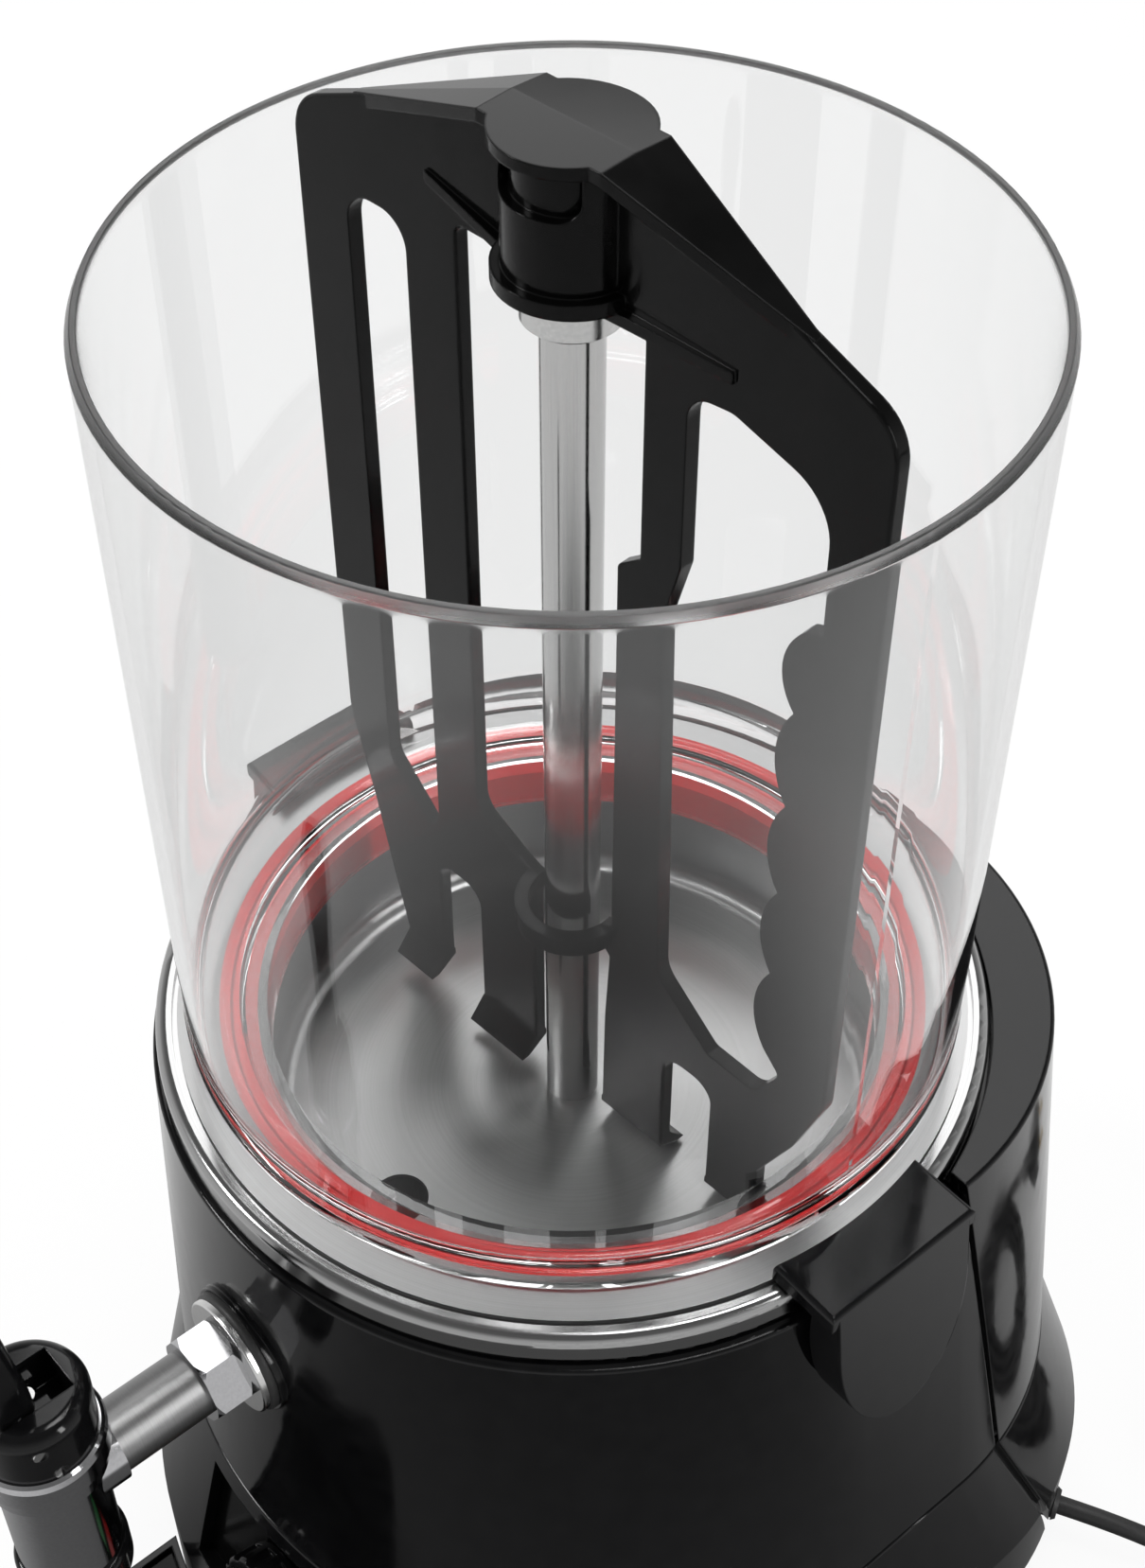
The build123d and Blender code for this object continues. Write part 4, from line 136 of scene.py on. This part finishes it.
def round_axis(tree, across, up):
    """Distance from the bowl's axis and height, so that a noise on them runs round the part."""
    places = node(tree, "ShaderNodeTexCoord")
    mapping = node(tree, "ShaderNodeMapping")
    mapping.inputs["Location"].default_value = (0, -AXIS_Y, 0)
    flat = node(tree, "ShaderNodeVectorMath", operation="MULTIPLY")
    flat.inputs[1].default_value = (1, 1, 0)
    reach = node(tree, "ShaderNodeVectorMath", operation="LENGTH")
    parts = node(tree, "ShaderNodeSeparateXYZ")
    radius = node(tree, "ShaderNodeMath", operation="MULTIPLY")
    radius.inputs[1].default_value = across
    height = node(tree, "ShaderNodeMath", operation="MULTIPLY")
    height.inputs[1].default_value = up
    joined = node(tree, "ShaderNodeCombineXYZ")
    links = tree.links
    links.new(places.outputs["Object"], mapping.inputs["Vector"])
    links.new(mapping.outputs["Vector"], flat.inputs[0])
    links.new(flat.outputs["Vector"], reach.inputs[0])
    links.new(mapping.outputs["Vector"], parts.inputs[0])
    links.new(reach.outputs["Value"], radius.inputs[0])
    links.new(parts.outputs["Z"], height.inputs[0])
    links.new(radius.outputs[0], joined.inputs["X"])
    links.new(height.outputs[0], joined.inputs["Y"])
    return joined.outputs["Vector"]


def noise(tree, vector, scale, detail=3.0):
    """Noise of a given scale, in features to the metre."""
    made = node(tree, "ShaderNodeTexNoise")
    made.inputs["Scale"].default_value = scale
    made.inputs["Detail"].default_value = detail
    tree.links.new(vector, made.inputs["Vector"])
    return made.outputs["Fac"]


def between(tree, source, low, high):
    """A noise's usual range spread between two values."""
    made = node(tree, "ShaderNodeMapRange")
    made.inputs["From Min"].default_value = NOISE_LOW
    made.inputs["From Max"].default_value = NOISE_HIGH
    made.inputs["To Min"].default_value = low
    made.inputs["To Max"].default_value = high
    tree.links.new(source, made.inputs["Value"])
    return made.outputs["Result"]


def shades(tree, source, dark, light):
    """A noise turned into a colour between two shades."""
    made = node(tree, "ShaderNodeValToRGB")
    first, last = made.color_ramp.elements
    first.position = NOISE_LOW
    first.color = (*dark, 1)
    last.position = NOISE_HIGH
    last.color = (*light, 1)
    tree.links.new(source, made.inputs["Fac"])
    return made.outputs["Color"]


def soft_edges(tree, shader, radius):
    """Edges that catch the light as if rounded by a small radius, under the material's relief."""
    made = node(tree, "ShaderNodeBevel", samples=6)
    made.inputs["Radius"].default_value = radius
    bump = shader.inputs["Normal"].links[0].from_node
    tree.links.new(made.outputs["Normal"], bump.inputs["Normal"])


def relief(tree, shader, source, depth, strength):
    """Bump of a given depth in metres, at a given strength."""
    made = node(tree, "ShaderNodeBump")
    made.inputs["Distance"].default_value = depth
    made.inputs["Strength"].default_value = strength
    tree.links.new(source, made.inputs["Height"])
    tree.links.new(made.outputs["Normal"], shader.inputs["Normal"])


def grain(name, dark, light, rough, vector_of, scale, depth, metal=0.0, strength=0.3):
    """Material whose colour, roughness and relief follow one noise."""
    made, tree, shader = material(name)
    field = noise(tree, vector_of(tree), scale)
    tree.links.new(shades(tree, field, dark, light), shader.inputs["Base Color"])
    tree.links.new(between(tree, field, *rough), shader.inputs["Roughness"])
    relief(tree, shader, field, depth, strength)
    shader.inputs["Metallic"].default_value = metal
    return made, tree, shader


def even(tree):
    """Places on the object, for a noise that is alike every way."""
    return stretched(tree, (1, 1, 1))


def rim_frost(tree):
    """Roughness of the bowl's moulded rim, which fades out just below it."""
    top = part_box("bowl")[1][2]
    places = node(tree, "ShaderNodeTexCoord")
    parts = node(tree, "ShaderNodeSeparateXYZ")
    fade = node(tree, "ShaderNodeMapRange", interpolation_type="SMOOTHSTEP")
    fade.inputs["From Min"].default_value = top - RIM_BAND
    fade.inputs["From Max"].default_value = top
    fade.inputs["To Min"].default_value = 0.0
    fade.inputs["To Max"].default_value = RIM_FROST
    tree.links.new(places.outputs["Object"], parts.inputs[0])
    tree.links.new(parts.outputs["Z"], fade.inputs["Value"])
    return fade.outputs["Result"]


def clear_plastic():
    """Clear bowl plastic that lets the lamps through to what stands in it."""
    made, tree, shader = material("clear_plastic")
    haze = noise(tree, even(tree), 60.0, 5.0)
    rough = node(tree, "ShaderNodeMath", operation="ADD")
    tree.links.new(between(tree, haze, 0.0, 0.012), rough.inputs[0])
    tree.links.new(rim_frost(tree), rough.inputs[1])
    tree.links.new(rough.outputs[0], shader.inputs["Roughness"])
    shader.inputs["Base Color"].default_value = (0.89, 0.893, 0.893, 1)
    shader.inputs["Transmission Weight"].default_value = 1.0
    shader.inputs["IOR"].default_value = 1.49
    clear = node(tree, "ShaderNodeBsdfTransparent")
    clear.inputs["Color"].default_value = (0.93, 0.93, 0.93, 1)
    path = node(tree, "ShaderNodeLightPath")
    mix = node(tree, "ShaderNodeMixShader")
    tree.links.new(path.outputs["Is Shadow Ray"], mix.inputs["Fac"])
    tree.links.new(shader.outputs["BSDF"], mix.inputs[1])
    tree.links.new(clear.outputs["BSDF"], mix.inputs[2])
    tree.links.new(mix.outputs["Shader"], tree.nodes["Material Output"].inputs["Surface"])
    return made


def red_silicone():
    """Moulded silicone of the bowl's gasket."""
    return grain(
        "red_silicone", (0.42, 0.003, 0.004), (0.52, 0.006, 0.007), (0.28, 0.40), even, 900.0, 0.00005,
    )[0]


def spun_steel(name, dark, light, rough, turned):
    """Stainless steel with fine lines round the bowl's axis."""
    def lines(tree):
        return round_axis(tree, 1.0, 0.6)
    made, tree, shader = grain(name, dark, light, rough, lines, 5200.0, 0.00001, 1.0, 0.03)
    shader.inputs["Anisotropic"].default_value = turned
    tangent = node(tree, "ShaderNodeTangent", direction_type="RADIAL", axis="Z")
    tree.links.new(tangent.outputs["Tangent"], shader.inputs["Tangent"])
    return made


def drawn_steel():
    """Tube steel with a fine grain along its length."""
    def lines(tree):
        return stretched(tree, (1, 1, 0.01))
    return grain(
        "drawn_steel", (0.52, 0.52, 0.52), (0.56, 0.56, 0.55), (0.12, 0.15),
        lines, 2600.0, 0.00001, 1.0, 0.02,
    )[0]


def brushed_pipe():
    """Tap pipe steel, brushed round the pipe."""
    def lines(tree):
        return stretched(tree, (0.02, 1, 0.02))
    return grain(
        "brushed_pipe", (0.19, 0.19, 0.19), (0.23, 0.23, 0.23), (0.34, 0.38),
        lines, 6000.0, 0.00001, 1.0, 0.03,
    )[0]


def plain_steel():
    return grain(
        "stainless", (0.56, 0.56, 0.56), (0.62, 0.62, 0.61), (0.17, 0.23), even, 900.0, 0.00002, 1.0, 0.05,
    )[0]


def chrome():
    return grain(
        "chrome", (0.42, 0.42, 0.43), (0.46, 0.46, 0.47), (0.08, 0.11), even, 900.0, 0.00001, 1.0, 0.02,
    )[0]


def gloss_plastic(name):
    """Moulded black gloss plastic with a faint orange peel."""
    made, tree, shader = grain(
        name, (0.0025, 0.0025, 0.0028), (0.0045, 0.0045, 0.0048), (0.07, 0.12),
        even, 140.0, 0.00006, 0.0, 0.04,
    )
    shader.inputs["IOR"].default_value = 1.45
    shader.inputs["Specular IOR Level"].default_value = 0.28
    soft_edges(tree, shader, 0.0007)
    return made, tree, shader


def knob_plastic():
    """Gloss plastic of the knob, with the pointer that stands proud of its top filled in white."""
    made, tree, shader = gloss_plastic("knob_plastic")
    places = node(tree, "ShaderNodeTexCoord")
    height = node(tree, "ShaderNodeVectorMath", operation="DOT_PRODUCT")
    height.inputs[1].default_value = PANEL_OUT
    proud = node(tree, "ShaderNodeMath", operation="GREATER_THAN")
    proud.inputs[1].default_value = KNOB_TOP
    fill = node(tree, "ShaderNodeMix", data_type="RGBA")
    black, white, mixed = fill.inputs[6], fill.inputs[7], fill.outputs[2]
    white.default_value = (0.75, 0.75, 0.73, 1)
    tree.links.new(places.outputs["Object"], height.inputs[0])
    tree.links.new(height.outputs["Value"], proud.inputs[0])
    tree.links.new(proud.outputs[0], fill.inputs["Factor"])
    tree.links.new(shader.inputs["Base Color"].links[0].from_socket, black)
    tree.links.new(mixed, shader.inputs["Base Color"])
    return made


def black_satin():
    """Moulded satin plastic of the paddle."""
    made, tree, shader = grain(
        "black_satin", (0.0018, 0.0018, 0.0018), (0.003, 0.003, 0.003), (0.13, 0.17),
        even, 60.0, 0.00002, 0.0, 0.02,
    )
    shader.inputs["Specular IOR Level"].default_value = 0.11
    soft_edges(tree, shader, 0.0008)
    return made


def black_rubber():
    return grain(
        "black_rubber", (0.010, 0.010, 0.010), (0.018, 0.018, 0.018), (0.42, 0.6),
        even, 1200.0, 0.00004, 0.0, 0.2,
    )[0]


def brass():
    return grain(
        "brass", (0.56, 0.38, 0.14), (0.72, 0.52, 0.22), (0.18, 0.32), even, 300.0, 0.00002, 1.0, 0.1,
    )[0]


def zinc_steel():
    return grain(
        "zinc_steel", (0.46, 0.47, 0.49), (0.62, 0.63, 0.65), (0.3, 0.48), even, 70.0, 0.00003, 1.0, 0.1,
    )[0]


def white_nylon():
    return grain(
        "white_nylon", (0.72, 0.72, 0.69), (0.82, 0.82, 0.79), (0.38, 0.5), even, 300.0, 0.00005, 0.0, 0.1,
    )[0]


def cream_nylon():
    return grain(
        "cream_nylon", (0.68, 0.63, 0.50), (0.78, 0.74, 0.61), (0.38, 0.5), even, 300.0, 0.00005, 0.0, 0.1,
    )[0]


def rocker(name, dark, light):
    """Tinted plastic of an unlit rocker."""
    return grain(name, dark, light, (0.14, 0.24), even, 220.0, 0.00004, 0.0, 0.1)[0]


def woven_strap():
    """Woven hook-and-loop strap."""
    return grain(
        "woven_strap", (0.008, 0.008, 0.008), (0.03, 0.03, 0.03), (0.75, 0.95),
        even, 2600.0, 0.0003, 0.0, 0.6,
    )[0]


MATERIALS = {
    "clear_plastic": clear_plastic(),
    "red_silicone": red_silicone(),
    "stainless": plain_steel(),
    "black_gloss": gloss_plastic("black_gloss")[0],
    "black_matte": black_satin(),
    "chrome": chrome(),
    "black_rubber": black_rubber(),
    "brass": brass(),
    "zinc_steel": zinc_steel(),
    "white_nylon": white_nylon(),
    "rocker_green": rocker("rocker_green", (0.004, 0.080, 0.016), (0.007, 0.105, 0.022)),
    "rocker_red": rocker("rocker_red", (0.17, 0.006, 0.005), (0.21, 0.009, 0.007)),
    "cream_nylon": cream_nylon(),
}
SPECIAL = {
    "heating_pan": spun_steel("pan_steel", (0.29, 0.29, 0.29), (0.33, 0.33, 0.33), (0.30, 0.34), 0.75),
    "water_jacket": spun_steel("bead_steel", (0.30, 0.30, 0.30), (0.36, 0.36, 0.36), (0.12, 0.17), 0.3),
    "standpipe": drawn_steel(),
    "outlet_pipe": brushed_pipe(),
    "thermostat_knob": knob_plastic(),
}


def dress_nodes():
    """Every CAD node takes its slot's material, or its own."""
    for row in RECORD["subparts"]:
        name = row["node"]
        chosen = SPECIAL.get(name, MATERIALS[row["material_slot"]])
        mesh = NODES[name].data
        mesh.materials.clear()
        mesh.materials.append(chosen)


def piece(obj, body, finish):
    """Put a new piece into the scene on its body."""
    bpy.context.scene.collection.objects.link(obj)
    obj.data.materials.append(finish)
    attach(obj, body)
    return obj


def coil_point(angle):
    """Point of the coil after a given turn: in on the floor layer, out again on the upper one."""
    middle = COIL_TURNS * pi
    off = abs(angle - middle)
    steady = off if off > pi / 2 else off * off / pi + pi / 4
    radius = COIL_MID_R - COIL_PITCH * COIL_TURNS / 4 + COIL_PITCH * steady / (2 * pi)
    climb = sin(max(-pi / 2, min(pi / 2, angle - middle)))
    heading = radians(COIL_START_ANGLE) + angle
    x = COIL_CENTRE[0] + radius * cos(heading)
    y = COIL_CENTRE[1] + radius * sin(heading)
    return Vector((x, y, CORD_R + COIL_LIFT + COIL_PITCH * (1 + climb) / 2))


def coil_way(angle):
    """Direction of the cord at a given turn of the coil."""
    step = 1e-4
    return (coil_point(angle + step) - coil_point(angle - step)).normalized()


def cord_points():
    """Route of the whole cord: the free run, the coil's turns and the lead into the plug."""
    points = [Vector(point) for point in CORD_RUN]
    points.append(coil_point(0) - coil_way(0) * 2 * CORD_R)
    last = 2 * pi * COIL_TURNS
    steps = round(COIL_TURNS * COIL_STEPS_A_TURN)
    points += [coil_point(last * i / steps) for i in range(steps + 1)]
    way = coil_way(last)
    lead = coil_point(last) + way * PLUG_LEAD
    lead.z = PLUG_R + PLUG_LIFT
    points += [lead, lead + way * 2 * CORD_R]
    return points


def mains_cord():
    """The whole cord as one smooth round tube."""
    curve = bpy.data.curves.new("mains_cord", "CURVE")
    curve.dimensions = "3D"
    curve.bevel_depth = CORD_R
    curve.bevel_resolution = 6
    curve.resolution_u = 6
    curve.use_fill_caps = True
    points = cord_points()
    spline = curve.splines.new("NURBS")
    spline.points.add(len(points) - 1)
    for slot, point in zip(spline.points, points):
        slot.co = (*point, 1)
    spline.order_u = 3
    spline.use_endpoint_u = True
    tube = bpy.data.objects.new("mains_cord", curve)
    cord = piece(tube, "machine", MATERIALS["black_rubber"])
    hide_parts("power_cord", "cord_coil")
    return cord


def coil_strap():
    """Strap round the coil's turns, with rounded corners."""
    low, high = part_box("cord_tie")
    heading = radians(COIL_START_ANGLE + 180 * COIL_TURNS + 180)
    out = Vector((cos(heading), sin(heading), 0))
    centre = Vector((*COIL_CENTRE, 0))
    inner = min((centre - v.co).dot(-out) for v in NODES["cord_tie"].data.vertices)
    outer = max((centre - v.co).dot(-out) for v in NODES["cord_tie"].data.vertices)
    side = Vector((-out.y, out.x, 0))
    loop = []
    corners = (
        (outer, high.z, 0), (inner, high.z, 90), (inner, low.z, 180), (outer, low.z, 270),
    )
    for reach, up, start in corners:
        in_reach = reach + (STRAP_ROUND if reach == inner else -STRAP_ROUND)
        in_up = up + (STRAP_ROUND if up == low.z else -STRAP_ROUND)
        for i in range(STRAP_CORNER_STEPS + 1):
            angle = radians(start + 90 * i / STRAP_CORNER_STEPS)
            loop.append((in_reach + STRAP_ROUND * cos(angle), in_up + STRAP_ROUND * sin(angle), angle))
    mesh = bmesh.new()
    rings = []
    for reach, up, angle in loop:
        ring = []
        for across, depth in ((-1, 0), (1, 0), (1, 1), (-1, 1)):
            r = reach - depth * STRAP_THICK * cos(angle)
            z = up - depth * STRAP_THICK * sin(angle)
            place = centre + out * r + side * (across * STRAP_WIDTH / 2)
            ring.append(mesh.verts.new((place.x, place.y, z)))
        rings.append(ring)
    for ring, following in zip(rings, rings[1:] + rings[:1]):
        for k in range(4):
            n = (k + 1) % 4
            mesh.faces.new((ring[k], ring[n], following[n], following[k]))
    bmesh.ops.recalc_face_normals(mesh, faces=mesh.faces)
    data = bpy.data.meshes.new("coil_strap")
    mesh.to_mesh(data)
    mesh.free()
    strap = piece(bpy.data.objects.new("coil_strap", data), "machine", woven_strap())
    bevel = strap.modifiers.new("edges", "BEVEL")
    bevel.width = STRAP_EDGE
    bevel.segments = 2
    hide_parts("cord_tie")
    return strap


def cord_and_plug():
    """The cord with the strap that goes with it."""
    cord = mains_cord()
    strap = coil_strap()


def floor():
    """Pale floor that shows white behind the part and keeps its soft shadow."""
    mesh = bpy.data.meshes.new("floor")
    half = FLOOR_HALF
    corners = [(-half, -half, 0), (half, -half, 0), (half, half, 0), (-half, half, 0)]
    mesh.from_pydata(corners, [], [(0, 1, 2, 3)])
    obj = bpy.data.objects.new("floor", mesh)
    bpy.context.scene.collection.objects.link(obj)
    made, tree, shader = material("floor")
    shader.inputs["Base Color"].default_value = (0.82, 0.82, 0.82, 1)
    shader.inputs["Roughness"].default_value = 0.9
    shader.inputs["Specular IOR Level"].default_value = 0.0
    glow = node(tree, "ShaderNodeEmission")
    mix = node(tree, "ShaderNodeMixShader")
    share = node(tree, "ShaderNodeMath", operation="MULTIPLY")
    share.inputs[1].default_value = FLOOR_WHITE
    tree.links.new(white_or(tree, near_shade(tree)), glow.inputs["Strength"])
    tree.links.new(seen_rays(tree), share.inputs[0])
    tree.links.new(share.outputs[0], mix.inputs["Fac"])
    tree.links.new(shader.outputs["BSDF"], mix.inputs[1])
    tree.links.new(glow.outputs["Emission"], mix.inputs[2])
    tree.links.new(mix.outputs["Shader"], tree.nodes["Material Output"].inputs["Surface"])
    mesh.materials.append(made)


def seen_rays(tree):
    """1 for camera, glossy and transmission rays, 0 for the rest."""
    path = node(tree, "ShaderNodeLightPath")
    first = node(tree, "ShaderNodeMath", operation="MAXIMUM")
    both = node(tree, "ShaderNodeMath", operation="MAXIMUM")
    tree.links.new(path.outputs["Is Camera Ray"], first.inputs[0])
    tree.links.new(path.outputs["Is Glossy Ray"], first.inputs[1])
    tree.links.new(first.outputs[0], both.inputs[0])
    tree.links.new(path.outputs["Is Transmission Ray"], both.inputs[1])
    return both.outputs[0]


def near_shade(tree):
    """How bright the floor is in a reflection: dark in front of the machine, paler further out."""
    places = node(tree, "ShaderNodeTexCoord")
    reach = node(tree, "ShaderNodeVectorMath", operation="DISTANCE")
    reach.inputs[1].default_value = DARK_SPOT
    shade = node(tree, "ShaderNodeMapRange", interpolation_type="SMOOTHSTEP")
    shade.inputs["From Min"].default_value = NEAR_FLOOR
    shade.inputs["From Max"].default_value = FAR_FLOOR
    shade.inputs["To Min"].default_value = NEAR_SHADE
    shade.inputs["To Max"].default_value = FAR_SHADE
    tree.links.new(places.outputs["Object"], reach.inputs[0])
    tree.links.new(reach.outputs["Value"], shade.inputs["Value"])
    return shade.outputs["Result"]


def white_or(tree, shade):
    """1 as seen straight on or through the clear bowl, and a shade as seen in a reflection."""
    path = node(tree, "ShaderNodeLightPath")
    mirrored = node(tree, "ShaderNodeMath", operation="GREATER_THAN")
    mirrored.inputs[1].default_value = 0.5
    chosen = node(tree, "ShaderNodeMix", data_type="FLOAT")
    chosen.inputs["A"].default_value = 1.0
    tree.links.new(path.outputs["Glossy Depth"], mirrored.inputs[0])
    tree.links.new(mirrored.outputs[0], chosen.inputs["Factor"])
    tree.links.new(shade, chosen.inputs["B"])
    return chosen.outputs["Result"]


def studio_walls():
    """White walls that are dim in reflections, with an even light for the part."""
    world = bpy.data.worlds.new("studio")
    bpy.context.scene.world = world
    world.use_nodes = True
    tree = world.node_tree
    ambient = tree.nodes["Background"]
    ambient.inputs["Color"].default_value = (1, 1, 1, 1)
    ambient.inputs["Strength"].default_value = AMBIENT
    backdrop = node(tree, "ShaderNodeBackground")
    backdrop.inputs["Color"].default_value = (1, 1, 1, 1)
    places = node(tree, "ShaderNodeTexCoord")
    parts = node(tree, "ShaderNodeSeparateXYZ")
    sky = node(tree, "ShaderNodeMapRange")
    sky.inputs["From Min"].default_value = 0.1
    sky.inputs["From Max"].default_value = 0.7
    sky.inputs["To Min"].default_value = FAR_SHADE
    sky.inputs["To Max"].default_value = SKY_SHADE
    mix = node(tree, "ShaderNodeMixShader")
    tree.links.new(places.outputs["Generated"], parts.inputs[0])
    tree.links.new(parts.outputs["Z"], sky.inputs["Value"])
    tree.links.new(white_or(tree, sky.outputs["Result"]), backdrop.inputs["Strength"])
    tree.links.new(seen_rays(tree), mix.inputs["Fac"])
    tree.links.new(ambient.outputs["Background"], mix.inputs[1])
    tree.links.new(backdrop.outputs["Background"], mix.inputs[2])
    tree.links.new(mix.outputs["Shader"], tree.nodes["World Output"].inputs["Surface"])


def softbox(name, place, target, size, watts):
    """Area lamp turned to a target."""
    data = bpy.data.lights.new(name, "AREA")
    data.shape = "RECTANGLE"
    data.size, data.size_y = size
    data.energy = watts
    lamp = bpy.data.objects.new(name, data)
    lamp.location = place
    lamp.rotation_euler = (Vector(target) - Vector(place)).to_track_quat("-Z", "Y").to_euler()
    bpy.context.scene.collection.objects.link(lamp)


def studio():
    """Floor, walls and four soft lamps."""
    floor()
    studio_walls()
    middle = (0, AXIS_Y, 0.3)
    softbox("key", (-1.3, -1.5, 1.9), middle, (0.5, 0.5), 26)
    softbox("fill", (1.9, 0.5, 1.2), middle, (0.3, 1.2), 14)
    softbox("top", (0.1, 0.4, 2.3), middle, (0.7, 0.7), 14)
    softbox("back", (-1.14, 1.01, 2.0), middle, (1.4, 1.4), 18)


def camera():
    """Camera as the photograph's was."""
    data = bpy.data.cameras.new("camera")
    data.lens = CAMERA_LENS
    data.sensor_width = CAMERA_SENSOR
    data.clip_start = 0.01
    obj = bpy.data.objects.new("camera", data)
    obj.location = CAMERA_PLACE
    obj.rotation_euler = (radians(90 - CAMERA_PITCH), 0, radians(CAMERA_TURN))
    bpy.context.scene.collection.objects.link(obj)
    bpy.context.scene.camera = obj


camera()
cord_and_plug()
dress_nodes()
studio()
bpy.context.scene.view_settings.view_transform = "Standard"
